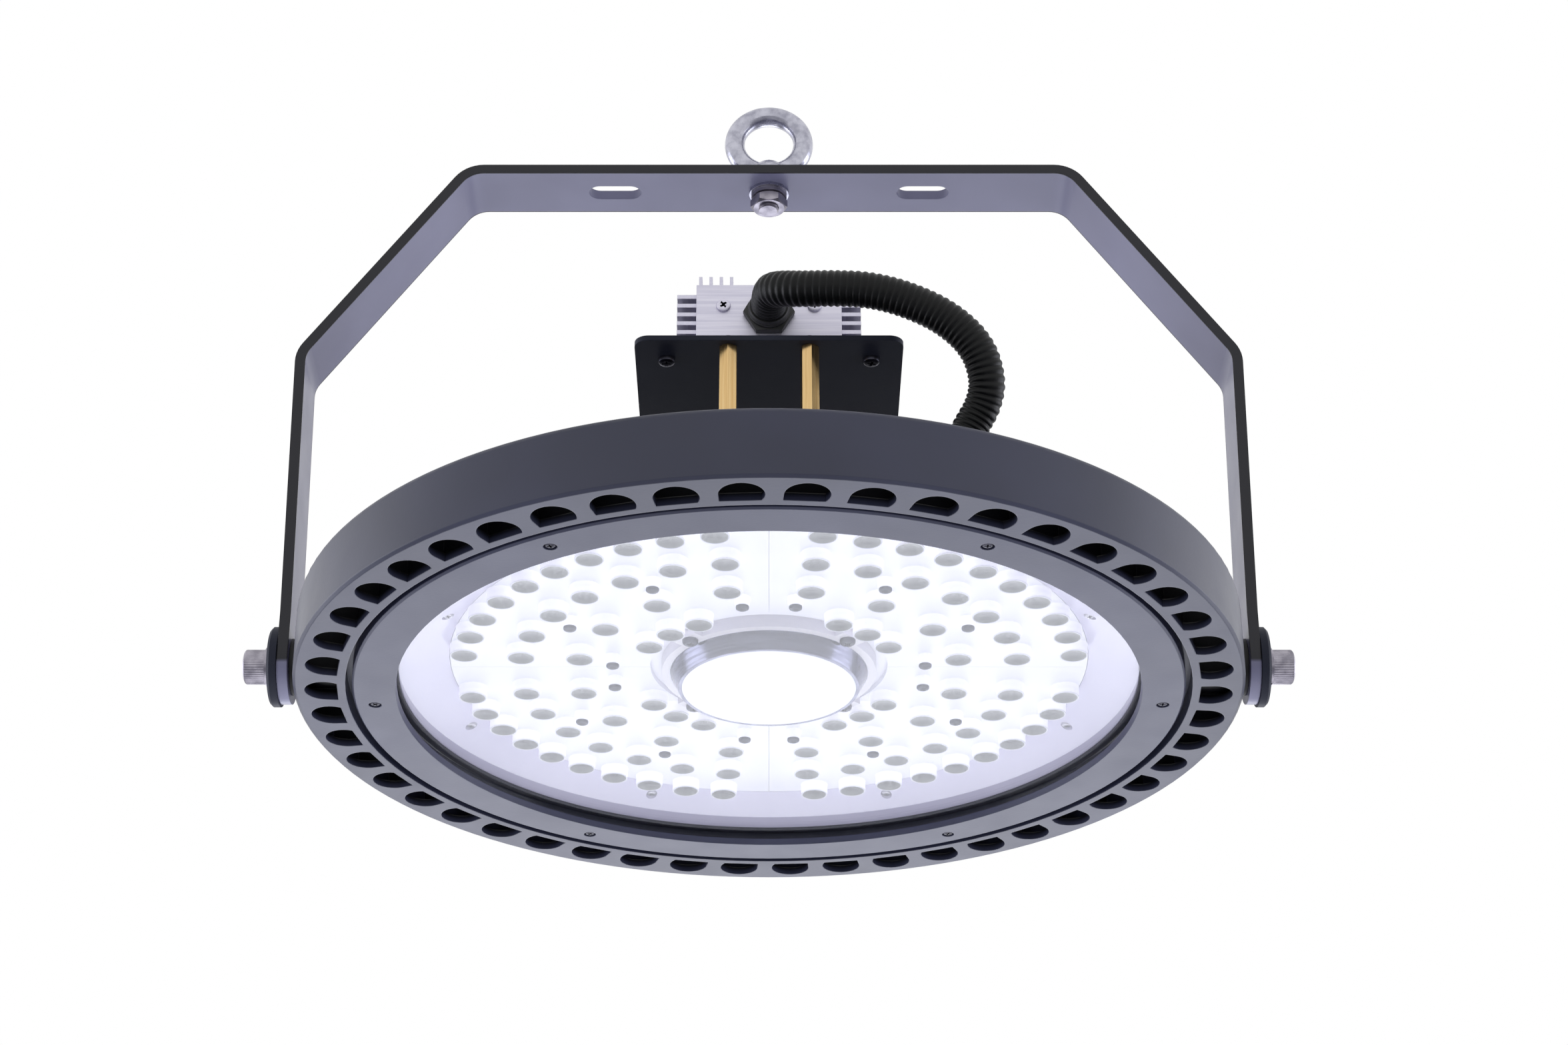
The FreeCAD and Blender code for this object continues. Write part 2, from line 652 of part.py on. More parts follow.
def draw_quadrant(sketch, inner, outer, gap):
    """A quarter ring with a straight gap kept along both axes."""
    rims = []
    for radius_text in (inner, outer):
        radius = number(radius_text)
        start = math.asin(number(gap) / radius)
        arc = Part.ArcOfCircle(
            Part.Circle(FreeCAD.Vector(), UP, radius), start, math.pi / 2 - start)
        edge = sketch.addGeometry(arc, False)
        sketch.addConstraint(Sketcher.Constraint("Coincident", edge, 3, -1, 1))
        fix(sketch, "Radius", (edge,), radius_text)
        rims.append((edge, arc))
    (near, near_arc), (far, far_arc) = rims
    for end, point, kind, turn in (
        (1, "StartPoint", "Horizontal", "DistanceY"),
        (2, "EndPoint", "Vertical", "DistanceX"),
    ):
        side = Part.LineSegment(getattr(near_arc, point), getattr(far_arc, point))
        edge = sketch.addGeometry(side, False)
        sketch.addConstraint(Sketcher.Constraint("Coincident", near, end, edge, 1))
        sketch.addConstraint(Sketcher.Constraint("Coincident", far, end, edge, 2))
        sketch.addConstraint(Sketcher.Constraint(kind, edge))
        fix(sketch, turn, (-1, 1, edge, 1), gap)


def screw_places():
    return [(f"{radius} * cos({angle} deg)", f"{radius} * sin({angle} deg)")
            for radius, angle in LENS_SCREWS]


def turn_to_quadrant(body, quadrant):
    body.Placement = FreeCAD.Placement(
        FreeCAD.Vector(), FreeCAD.Rotation(UP, 90 * (quadrant - 1)))


def make_led_board(quadrant):
    body = new_body(f"led_board_{quadrant}")
    outline = new_sketch(body, f"board_outline_{quadrant}", level="pan_floor - board_thick")
    draw_quadrant(outline, "board_inner", "board_outer", "board_gap")
    pad(body, outline, "board_thick")
    holes(body, f"board_holes_{quadrant}", screw_places(), "small_shank + hole_play",
          "pan_floor + 1", "board_thick + 2")
    turn_to_quadrant(body, quadrant)


def make_lens_plate(quadrant):
    body = new_body(f"lens_plate_{quadrant}")
    top = "pan_floor - board_thick"
    outline = new_sketch(body, f"lens_outline_{quadrant}", level=f"{top} - lens_plate_thick")
    draw_quadrant(outline, "board_inner", "board_outer", "board_gap")
    pad(body, outline, "lens_plate_thick")
    for ring, first, count, step in LENS_RINGS:
        sketch = new_sketch(body, f"{ring}_{quadrant}", level=f"{top} - lens_plate_thick")
        centre = (f"{ring} * cos({first} deg)", f"{ring} * sin({first} deg)")
        draw_ngon(sketch, centre, "lens_base", LENS_SIDES, first)
        lens = pad(body, sketch, "lens_height", down=True, draft="-1 * lens_draft")
        polar(body, [lens], count, str(step * (count - 1)))
    holes(body, f"lens_holes_{quadrant}", screw_places(), "small_shank + hole_play",
          "pan_floor", "board_thick + lens_plate_thick + 1")
    turn_to_quadrant(body, quadrant)


def make_lens_screws():
    body = new_body("lens_screws", several=True)
    face = "pan_floor - board_thick - lens_plate_thick"
    head = discs(body, "lens_screw_head", screw_places(), "small_head", face,
                 "small_head_height", down=True)
    shank = discs(body, "lens_screw_shank", screw_places(), "small_shank", face,
                  "board_thick + lens_plate_thick + tap_depth")
    polar(body, [head, shank], "4")


# The hub in the middle, over the terminal block

def ear_place():
    return [("ear_screw_circle * cos(45 deg)", "ear_screw_circle * sin(45 deg)")]


def make_hub():
    ledge = "hub_face + hub_plate_thick"
    body = turned_body("hub_collar", (
        ("hub_flange", "pan_floor"),
        ("hub_flange", "hub_step"),
        ("hub_base", "hub_step"),
        ("hub_mouth", "hub_face"),
        ("hub_mouth - hub_wall", "hub_face"),
        ("hub_mouth - hub_wall", ledge),
        ("hub_mouth - hub_wall - hub_ledge", ledge),
        ("hub_mouth - hub_wall - hub_ledge", f"{ledge} + 1"),
        ("hub_mouth - hub_wall + 0.5", f"{ledge} + 1"),
        ("hub_base - hub_wall - 0.3", "hub_step"),
        ("hub_base - hub_wall - 0.3", "pan_floor"),
    ))
    ear_sketch = new_sketch(body, "hub_ear", level="pan_floor", turn="45")
    draw_rectangle(ear_sketch, ("hub_base - hub_wall", "-0.5 * ear_width"),
                   ("ear_reach", "0.5 * ear_width"))
    ear = pad(body, ear_sketch, "pan_floor - hub_step", down=True)
    polar(body, [ear], "4")
    hole = holes(body, "hub_ear_hole", ear_place(), "bezel_screw_radius + hole_play",
                 "pan_floor + 1", "pan_floor - hub_step + 2")
    polar(body, [hole], "4")

    plate = ring_outline("0", "hub_mouth - hub_wall - thread_play", "hub_face", ledge)
    turned_body("hub_plate", plate)

    screws = new_body("hub_screws", several=True)
    head = discs(screws, "hub_screw_head", ear_place(), "ear_screw_head", "hub_step",
                 "ear_screw_height", down=True)
    shank = discs(screws, "hub_screw_shank", ear_place(), "bezel_screw_radius", "hub_step",
                  "pan_floor + tap_depth - hub_step")
    polar(screws, [head, shank], "4")


def make_terminal_block():
    body = new_body("terminal_block")
    block = new_sketch(body, "terminal_outline", level="pan_floor")
    draw_rectangle(block, ("-0.5 * terminal_length", "-0.5 * terminal_width"),
                   ("0.5 * terminal_length", "0.5 * terminal_width"))
    pad(body, block, "terminal_height", down=True)
    wells = []
    for step in (-1, 0, 1):
        wells += [(f"{step} * terminal_pitch", "-0.25 * terminal_width"),
                  (f"{step} * terminal_pitch", "0.25 * terminal_width")]
    holes(body, "terminal_wells", wells, "terminal_well",
          "pan_floor - terminal_height - 1", "4", up=True)


# Pivots, the same stack on both sides of the lamp

def make_pivot(side, sign):
    """Spacer, large washer, spring washer and bolt, drawn along the pivot axis."""
    spacer_end = "pivot_boss_face + spacer_thick"
    disc_start = f"{spacer_end} + strap_thick + 2 * face_play"
    disc_end = f"{disc_start} + disc_thick"
    head_start = f"{disc_end} + spring_thick"
    head_end = f"{head_start} + cap_head_length"
    bore = "pivot_radius + hole_play"
    pieces = [
        turned_body(f"pivot_spacer_{side}", ring_outline(
            bore, "pivot_boss_radius", "pivot_boss_face", spacer_end)),
        turned_body(f"pivot_disc_{side}", (
            (bore, disc_start),
            ("disc_radius", disc_start),
            ("disc_radius", f"{disc_end} - 1"),
            ("disc_radius - 1", disc_end),
            (bore, disc_end),
        )),
        turned_body(f"pivot_spring_washer_{side}", ring_outline(
            bore, "spring_radius", disc_end, head_start)),
        turned_body(f"pivot_bolt_{side}", (
            ("0", "pivot_boss_face - pivot_thread"),
            ("pivot_radius - 0.8", "pivot_boss_face - pivot_thread"),
            ("pivot_radius", "pivot_boss_face - pivot_thread + 0.8"),
            ("pivot_radius", head_start),
            ("cap_head_radius", head_start),
            ("cap_head_radius", f"{head_end} - cap_head_edge"),
            ("cap_head_radius - cap_head_edge", head_end),
            ("0", head_end),
        )),
    ]
    bolt = pieces[-1]
    socket = new_sketch(bolt, f"bolt_socket_{side}", level=f"{head_end} + 1")
    draw_ngon(socket, ("0", "0"), "socket_flats / (2 * cos(30 deg))", 6)
    pocket(bolt, socket, "socket_depth + 1")
    for piece in pieces:
        point_along(piece, FreeCAD.Vector(sign, 0, 0))
        place_at(piece, z="pivot_height")


# The yoke, bent from one strap, with the eye bolt through its crown

def strap_outline():
    """Corners of the bent strap before its bends are rounded: outside, then inside."""
    inner_face = "pivot_boss_face + spacer_thick + face_play"
    outer_face = f"{inner_face} + strap_thick"
    foot = "pivot_height - ear_round"
    right_out = [(outer_face, foot), (outer_face, "ear_bend"),
                 ("shoulder_x", "shoulder_z"), ("crown_x", "crown_z")]
    slope = "atan((crown_z - shoulder_z) / (shoulder_x - crown_x))"
    splay = f"atan((shoulder_x - ({outer_face})) / (shoulder_z - ear_bend))"
    shoulder_turn = f"(90 deg - {slope} + {splay}) / 2"
    right_in = [
        (inner_face, foot),
        (inner_face, "ear_bend"),
        (f"shoulder_x - strap_thick * cos({splay} - {shoulder_turn}) / cos({shoulder_turn})",
         f"shoulder_z + strap_thick * sin({splay} - {shoulder_turn}) / cos({shoulder_turn})"),
        (f"crown_x - strap_thick * tan({slope} / 2)", "crown_z - strap_thick"),
    ]
    left_out = [(f"-1 * ({x})", z) for x, z in reversed(right_out)]
    left_in = [(f"-1 * ({x})", z) for x, z in right_in]
    return right_out + left_out + left_in + right_in[::-1]


def draw_slot(sketch, centre, length, width):
    """A round-ended slot along the sketch's X axis."""
    half = number(f"({length} - {width}) / 2")
    radius = number(f"{width} / 2")
    middle = number(centre)
    edges = []
    for sign in (1, -1):
        place = FreeCAD.Vector(middle + sign * half, 0, 0)
        start = -math.pi / 2 if sign > 0 else math.pi / 2
        end = Part.ArcOfCircle(Part.Circle(place, UP, radius), start, start + math.pi)
        edge = sketch.addGeometry(end, False)
        fix_point(sketch, edge, 3, (f"{centre} + {sign} * ({length} - {width}) / 2", "0"))
        edges.append((edge, end))
    (right, right_arc), (left, left_arc) = edges
    top = sketch.addGeometry(Part.LineSegment(right_arc.EndPoint, left_arc.StartPoint), False)
    low = sketch.addGeometry(Part.LineSegment(left_arc.EndPoint, right_arc.StartPoint), False)
    for one, one_end, other, other_end in (
        (right, 2, top, 1), (top, 2, left, 1), (left, 2, low, 1), (low, 2, right, 1),
    ):
        sketch.addConstraint(Sketcher.Constraint("Tangent", one, one_end, other, other_end))
    fix(sketch, "Radius", (right,), f"{width} / 2")


def make_yoke():
    body = new_body("yoke")
    profile = new_sketch(body, "strap_profile", "XZ_Plane")
    draw_polygon(profile, strap_outline())
    strap = pad(body, profile, "strap_width", symmetric=True)

    thick = number("strap_thick")
    bends = [(number("shoulder_x"), number("shoulder_z")), (number("crown_x"), number("crown_z"))]

    def at_bend(edge, outside):
        """True for an edge across the strap at a shoulder or the crown's end."""
        ends = [vertex.Point for vertex in edge.Vertexes]
        if len(ends) != 2 or abs(ends[0].x - ends[1].x) + abs(ends[0].z - ends[1].z) > 0.01:
            return False
        away = min(math.hypot(abs(ends[0].x) - x, ends[0].z - z) for x, z in bends)
        return away < 0.01 if outside else 0.01 < away < 1.5 * thick

    outer = fillet(body, strap, "bend_radius", lambda edge: at_bend(edge, True))
    fillet(body, outer, "bend_radius - strap_thick", lambda edge: at_bend(edge, False))

    trim = new_sketch(body, "arm_end_trim", "YZ_Plane")
    axis = number("pivot_height")
    radius = number("ear_round")
    outside = number("ear_round + 2")
    end = Part.ArcOfCircle(
        Part.Circle(FreeCAD.Vector(0, axis, 0), UP, radius), math.pi, 2 * math.pi)
    arc = trim.addGeometry(end, False)
    corners = [(-radius, axis), (-outside, axis), (-outside, axis - outside),
               (outside, axis - outside), (outside, axis), (radius, axis)]
    lines = []
    for start, stop in zip(corners, corners[1:]):
        line = Part.LineSegment(FreeCAD.Vector(*start, 0), FreeCAD.Vector(*stop, 0))
        lines.append(trim.addGeometry(line, False))
    chain = [(arc, 1, lines[0], 1)]
    chain += [(a, 2, b, 1) for a, b in zip(lines, lines[1:])]
    chain.append((lines[-1], 2, arc, 2))
    for one, one_end, other, other_end in chain:
        trim.addConstraint(Sketcher.Constraint("Coincident", one, one_end, other, other_end))
    fix_point(trim, arc, 3, ("0", "pivot_height"))
    for edge, kind in zip(lines, ("Horizontal", "Vertical", "Horizontal", "Vertical", "Horizontal")):
        trim.addConstraint(Sketcher.Constraint(kind, edge))
    fix(trim, "DistanceX", (-1, 1, lines[0], 1), "-1 * ear_round")
    fix(trim, "DistanceY", (-1, 1, lines[0], 1), "pivot_height")
    fix(trim, "DistanceX", (-1, 1, lines[1], 1), "-1 * (ear_round + 2)")
    fix(trim, "DistanceY", (-1, 1, lines[2], 1), "pivot_height - ear_round - 2")
    fix(trim, "DistanceX", (-1, 1, lines[3], 1), "ear_round + 2")
    fix(trim, "DistanceY", (-1, 1, lines[4], 2), "pivot_height")
    pocket(body, trim, "2 * shoulder_x", symmetric=True)

    pivot = new_sketch(body, "arm_pivot_holes", "YZ_Plane")
    draw_circle(pivot, ("0", "pivot_height"), "pivot_radius + pivot_play")
    pocket(body, pivot, "2 * shoulder_x", symmetric=True)

    crown = new_sketch(body, "crown_slots", level="crown_z + 1")
    for sign in (-1, 1):
        draw_slot(crown, f"{sign} * slot_offset", "slot_length", "slot_width")
    draw_circle(crown, ("0", "0"), "eye_shank + hole_play")
    pocket(body, crown, "strap_thick + 2")


def part_object(kind, name, **sizes):
    """A Part primitive whose properties are bound to expressions."""
    made = doc.addObject(kind, name)
    for key, text in sizes.items():
        drive(made, key, text)
    return made


def make_eye_bolt():
    ring = part_object("Part::Torus", "eye_ring", Radius1="(eye_outer + eye_inner) / 4",
                       Radius2="(eye_outer - eye_inner) / 4")
    ring.Placement = FreeCAD.Placement(
        FreeCAD.Vector(), FreeCAD.Rotation(FreeCAD.Vector(1, 0, 0), 90))
    drive(ring, "Placement.Base.z", "eye_rise")
    collar = part_object("Part::Cylinder", "eye_collar", Radius="eye_collar_radius",
                         Height="eye_collar_height")
    shank = part_object("Part::Cylinder", "eye_thread", Radius="eye_shank",
                        Height="eye_shank_length + 1")
    drive(shank, "Placement.Base.z", "-1 * eye_shank_length")
    bolt = doc.addObject("Part::MultiFuse", "eye_bolt")
    bolt.Shapes = [ring, collar, shank]
    bolt.Label = "eye_bolt"
    place_at(bolt, z="crown_z")
    nodes.append(bolt)


def make_eye_hardware():
    """Flat washer, spring washer and nut under the crown."""
    under = "crown_z - strap_thick"
    bore = "eye_shank + hole_play"
    flat_end = f"{under} - washer_thick"
    spring_end = f"{flat_end} - spring_thick"
    turned_body("eye_washer", ring_outline(bore, "washer_radius", flat_end, under))
    turned_body("eye_spring_washer", ring_outline(bore, "spring_radius", spring_end, flat_end))
    blank = part_object("Part::Prism", "nut_blank", Circumradius="nut_flats / (2 * cos(30 deg))",
                        Height="nut_height")
    blank.Polygon = 6
    thread = part_object("Part::Cylinder", "nut_thread", Radius="eye_shank + thread_play",
                         Height="nut_height")
    nut = doc.addObject("Part::Cut", "eye_nut")
    nut.Base = blank
    nut.Tool = thread
    nut.Label = "eye_nut"
    place_at(nut, z=f"{spring_end} - nut_height")
    nodes.append(nut)


# The shelf that carries the driver, and its standoffs

def make_shelf():
    body = new_body("driver_shelf")
    outline = new_sketch(body, "shelf_outline", level="shelf_bottom")
    draw_rectangle(outline, ("-0.5 * shelf_width", "-0.5 * shelf_length"),
                   ("0.5 * shelf_width", "0.5 * shelf_length"))
    plate = pad(body, outline, "shelf_thick")
    fillet(body, plate, "shelf_corner", lambda edge: (
        len(edge.Vertexes) == 2 and abs(edge.Vertexes[0].Z - edge.Vertexes[1].Z) > 0.5))
    holes(body, "shelf_screw_holes", four_corners("standoff_x", "standoff_y"),
          "standoff_stud + hole_play", "shelf_bottom + shelf_thick + 1", "shelf_thick + 2")
    holes(body, "foot_screw_holes", four_corners("foot_screw_x", "foot_screw_y"),
          "foot_screw_radius + hole_play", "shelf_bottom + shelf_thick + 1", "shelf_thick + 2")


def make_standoffs():
    body = new_body("standoffs", several=True)
    hexes = new_sketch(body, "standoff_hexes", level="post_top")
    for place in four_corners("standoff_x", "standoff_y"):
        draw_ngon(hexes, place, "standoff_flats / (2 * cos(30 deg))", 6, 30)
    pad(body, hexes, "shelf_bottom - post_top")
    discs(body, "standoff_studs", four_corners("standoff_x", "standoff_y"),
          "standoff_stud", "post_top", "standoff_stud_length", down=True)
    holes(body, "standoff_bores", four_corners("standoff_x", "standoff_y"),
          "standoff_stud + thread_play", "shelf_bottom + 1", "standoff_bore + 1")

    screws = new_body("shelf_screws", several=True)
    top = "shelf_bottom + shelf_thick"
    discs(screws, "shelf_screw_heads", four_corners("standoff_x", "standoff_y"),
          "shelf_screw_head", top, "shelf_screw_height")
    discs(screws, "shelf_screw_shanks", four_corners("standoff_x", "standoff_y"),
          "standoff_stud", top, "shelf_screw_length", down=True)


# The driver: a ribbed extrusion closed by two end caps

DRIVER_BASE = "shelf_bottom + shelf_thick"


def make_driver_case():
    body = new_body("driver_case")
    length = "driver_length - 2 * cap_thick"
    core = new_sketch(body, "case_section", "XZ_Plane")
    draw_rectangle(core, ("-1 * driver_half", DRIVER_BASE),
                   ("driver_half", f"{DRIVER_BASE} + driver_height"))
    pad(body, core, length, symmetric=True)
    rib = new_sketch(body, "case_rib", "XZ_Plane")
    draw_rectangle(rib, ("-1 * driver_reach", DRIVER_BASE),
                   ("driver_reach", f"{DRIVER_BASE} + rib_thick"))
    ribs = pad(body, rib, length, symmetric=True)
    row_of(body, ribs, "Z_Axis", "rib_count", "rib_pitch")
    comb = new_sketch(body, "case_comb", "XZ_Plane")
    foot = f"{DRIVER_BASE} + driver_height - 1"
    tip = f"{DRIVER_BASE} + driver_height + comb_height"
    draw_rectangle(comb, ("comb_inner", foot), ("comb_inner + comb_thick", tip))
    last = "comb_inner + comb_thick + (comb_count - 1) * comb_pitch"
    draw_rectangle(comb, (f"-1 * ({last})", foot), (f"-1 * ({last}) + comb_thick", tip))
    fins = pad(body, comb, length, symmetric=True)
    row_of(body, fins, "X_Axis", "comb_count", "comb_pitch")
    cavity = new_sketch(body, "case_cavity", "XZ_Plane")
    draw_rectangle(cavity, ("-1 * (driver_half - driver_wall)", f"{DRIVER_BASE} + driver_wall"),
                   ("driver_half - driver_wall", f"{DRIVER_BASE} + driver_height - driver_wall"))
    pocket(body, cavity, "driver_length", symmetric=True)


def cap_screw_places():
    return [(f"{sign} * cap_screw_x", f"{DRIVER_BASE} + {height}")
            for sign in (-1, 1) for height in ("cap_screw_low", "cap_screw_high")]


def make_end_cap(label, sign):
    """A flat cap with a foot for the shelf screws. sign is -1 at the front, 1 at the back."""
    body = new_body(label)
    inner = f"{-sign} * (0.5 * driver_length - cap_thick)"
    plate = new_sketch(body, f"{label}_plate", "XZ_Plane", inner)
    draw_rectangle(plate, ("-1 * driver_half", DRIVER_BASE),
                   ("driver_half", f"{DRIVER_BASE} + driver_height"))
    pad(body, plate, "cap_thick", down=sign > 0)
    foot = new_sketch(body, f"{label}_foot", "XZ_Plane", inner)
    draw_rectangle(foot, ("-1 * foot_half", DRIVER_BASE),
                   ("foot_half", f"{DRIVER_BASE} + foot_thick"))
    pad(body, foot, "cap_thick + foot_length", down=sign > 0)
    places = [(x, y) for x, y in four_corners("foot_screw_x", "foot_screw_y")
              if y.startswith(f"{sign} ")]
    holes(body, f"{label}_foot_holes", places, "foot_screw_radius + thread_play",
          f"{DRIVER_BASE} - 1", "foot_thick + 2", up=True)
    gland = new_sketch(body, f"{label}_gland_hole", "XZ_Plane", inner)
    draw_circle(gland, ("0", f"{DRIVER_BASE} + gland_z"), "gland_thread + thread_play")
    pocket(body, gland, "4 * cap_thick", symmetric=True)
    screw = new_sketch(body, f"{label}_screw_holes", "XZ_Plane", inner)
    for place in cap_screw_places():
        draw_circle(screw, place, "cap_screw_radius + hole_play")
    pocket(body, screw, "4 * cap_thick", symmetric=True)


def make_driver_screws():
    body = new_body("driver_cap_screws", several=True)
    for sign in (-1, 1):
        face = f"{-sign} * 0.5 * driver_length"
        heads = new_sketch(body, f"cap_heads_{sign + 1}", "XZ_Plane", face)
        shanks = new_sketch(body, f"cap_shanks_{sign + 1}", "XZ_Plane", face)
        for place in cap_screw_places():
            draw_circle(heads, place, "cap_screw_head")
            draw_circle(shanks, place, "cap_screw_radius")
        pad(body, heads, "cap_screw_rise", down=sign > 0)
        pad(body, shanks, "cap_thick", down=sign < 0)

    screws = new_body("foot_screws", several=True)
    discs(screws, "foot_screw_heads", four_corners("foot_screw_x", "foot_screw_y"),
          "foot_screw_head", "shelf_bottom", "foot_screw_height", down=True)
    discs(screws, "foot_screw_shanks", four_corners("foot_screw_x", "foot_screw_y"),
          "foot_screw_radius", "shelf_bottom", "shelf_thick + foot_thick")


def make_driver_core():
    """The circuit, potted into one block that fills the extrusion."""
    body = new_body("driver_core")
    section = new_sketch(body, "core_section", "XZ_Plane")
    inset = "driver_wall + thread_play"
    draw_rectangle(section, (f"-1 * (driver_half - ({inset}))", f"{DRIVER_BASE} + {inset}"),
                   (f"driver_half - ({inset})", f"{DRIVER_BASE} + driver_height - ({inset})"))
    pad(body, section, "core_length - 2 * gland_tail", symmetric=True)


# Glands: a nut with a collar on one side and a thread on the other, along their own +Z

def make_gland(label, hexagon, collar):
    body = new_body(label)
    nut = new_sketch(body, f"{label}_nut")
    draw_ngon(nut, ("0", "0"), "gland_flats / (2 * cos(30 deg))", 6)
    pad(body, nut, hexagon)
    centre = [("0", "0")]
    discs(body, f"{label}_collar", centre, "collar_radius", hexagon, collar)
    discs(body, f"{label}_tail", centre, "gland_thread", "0", "gland_tail", down=True)
    return body


def make_glands():
    gland_axis = f"{DRIVER_BASE} + gland_z"
    outlet = make_gland("driver_outlet_gland", "outlet_hex", "outlet_collar")
    point_along(outlet, FreeCAD.Vector(0, -1, 0))
    place_at(outlet, y="-0.5 * driver_length", z=gland_axis)

    inlet = make_gland("driver_inlet_gland", "inlet_hex", "inlet_collar")
    holes(inlet, "inlet_cable_hole", [("0", "0")], "inlet_bore",
          "inlet_hex + inlet_collar + 1", "inlet_bore_depth + 1")
    point_along(inlet, FreeCAD.Vector(0, 1, 0))
    place_at(inlet, y="0.5 * driver_length", z=gland_axis)

    lamp = make_gland("lamp_gland", "lamp_hex", "lamp_collar")
    place_at(lamp, "lamp_gland_x", "lamp_gland_y", "lamp_gland_seat")


# The conduit between the outlet gland and the casting's gland

def conduit_route():
    gland_axis = number(f"{DRIVER_BASE} + gland_z")
    exit_y = number("-0.5 * driver_length - outlet_hex - outlet_collar")
    seat = number("lamp_gland_seat + lamp_hex + lamp_collar")
    x, y = number("lamp_gland_x"), number("lamp_gland_y")
    ends = (0, exit_y, gland_axis), (x, y, seat + 8.5), (x, y, seat)
    points = (ends[0], *CONDUIT_BENDS, *ends[1:])
    return [FreeCAD.Vector(*point) for point in points]


def rounded_path(points):
    """Straight runs joined by tangent arcs, each as large as its two runs allow."""
    edges = []
    radii = []
    start = points[0]
    for before, corner, after in zip(points, points[1:], points[2:]):
        back = (before - corner).normalize()
        ahead = (after - corner).normalize()
        half_turn = (math.pi - back.getAngle(ahead)) / 2
        reach = 0.45 * min((before - corner).Length, (after - corner).Length)
        radius = reach / math.tan(half_turn)
        middle = (back + ahead).normalize()
        sag = radius / math.cos(half_turn) - radius
        first = corner + back * reach
        last = corner + ahead * reach
        edges.append(Part.LineSegment(start, first).toShape())
        edges.append(Part.Arc(first, corner + middle * sag, last).toShape())
        radii.append(radius)
        start = last
    edges.append(Part.LineSegment(start, points[-1]).toShape())
    return Part.Wire(edges), radii


def make_conduit():
    points = conduit_route()
    path, radii = rounded_path(points)
    ring = Part.Circle(points[0], points[1] - points[0], number("conduit_radius")).toShape()
    tube = path.makePipeShell([Part.Wire(ring)], True, True)
    expected = math.pi * number("conduit_radius") ** 2 * path.Length
    print("conduit bend radii", [round(radius, 1) for radius in radii])
    print(f"conduit length {path.Length:.1f}, volume {tube.Volume:.0f} of {expected:.0f}")
    conduit = doc.addObject("Part::Feature", "conduit")
    conduit.Shape = tube
    conduit.Label = "conduit"
    conduit.Placement = FreeCAD.Placement()
    nodes.append(conduit)


def check_and_export():
    """Stops on any failed object, then writes each node's file."""
    doc.recompute()
    failed = [item.Label for item in doc.Objects
              if "Invalid" in item.State or "Error" in item.State]
    if failed:
        raise RuntimeError(f"failed objects: {failed}")
    for node in nodes:
        if node.Shape.isNull() or not node.Shape.isValid() or not node.Shape.Solids:
            raise RuntimeError(f"{node.Label} has no valid solid")
    os.makedirs(NODE_FOLDER, exist_ok=True)
    for node in nodes:
        node.Shape.exportStep(os.path.join(NODE_FOLDER, f"{node.Label}.step"))
    print(f"{len(nodes)} nodes written")


make_housing()
make_bezel()
make_cover()
make_reflector()
for quadrant in QUADRANTS:
    make_led_board(quadrant)
    make_lens_plate(quadrant)
make_lens_screws()
make_hub()
make_terminal_block()
for side, sign in SIDES:
    make_pivot(side, sign)
make_yoke()
make_eye_bolt()
make_eye_hardware()
make_shelf()
make_standoffs()
make_driver_case()
make_end_cap("driver_cap_front", -1)
make_end_cap("driver_cap_rear", 1)
make_driver_screws()
make_driver_core()
make_glands()
make_conduit()
check_and_export()
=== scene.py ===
"""High bay light: finishes, hardware, lenses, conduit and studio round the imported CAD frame.

Laid out as an add-on with one operator per piece or group of pieces, and run as a script.
Everything is in metres in the frame's own axes: +Z up to the eye, +X along the tilt axis.
"""
import math

import bmesh
import bpy
from mathutils import Matrix, Vector


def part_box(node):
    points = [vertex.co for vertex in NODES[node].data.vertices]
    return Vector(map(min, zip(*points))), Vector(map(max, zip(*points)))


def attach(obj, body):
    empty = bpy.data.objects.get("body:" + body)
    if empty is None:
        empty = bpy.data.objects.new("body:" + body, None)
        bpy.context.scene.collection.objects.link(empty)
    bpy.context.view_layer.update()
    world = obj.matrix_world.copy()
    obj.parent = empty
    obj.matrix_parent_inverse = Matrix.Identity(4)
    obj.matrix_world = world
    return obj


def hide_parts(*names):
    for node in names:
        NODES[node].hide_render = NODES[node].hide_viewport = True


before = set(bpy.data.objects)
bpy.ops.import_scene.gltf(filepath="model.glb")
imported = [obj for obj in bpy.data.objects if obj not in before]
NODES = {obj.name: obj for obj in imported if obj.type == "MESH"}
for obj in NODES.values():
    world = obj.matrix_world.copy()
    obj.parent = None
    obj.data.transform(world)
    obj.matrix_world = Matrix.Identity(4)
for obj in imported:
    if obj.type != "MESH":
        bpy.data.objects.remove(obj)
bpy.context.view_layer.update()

bl_info = {
    "name": "High Bay Light",
    "version": (1, 0, 0),
    "blender": (4, 5, 0),
    "location": "View3D > Sidebar > High Bay",
    "description": "Dresses the CAD frame of a round LED high bay light",
    "category": "Object",
}

MM = 0.001
UP = Vector((0, 0, 1))
FULL_TURN = 2 * math.pi

LAMP = "lamp"
YOKE = "yoke"
QUADRANTS = (1, 2, 3, 4)
SIDES = (("left", -1), ("right", 1))


def srgb(red, green, blue):
    """A colour given on a 0 to 255 scale, as the linear one that shaders use."""
    return tuple(
        (value / 255 / 12.92) if value <= 10 else ((value / 255 + 0.055) / 1.055) ** 2.4
        for value in (red, green, blue)
    )


# Where things are, read off the frame

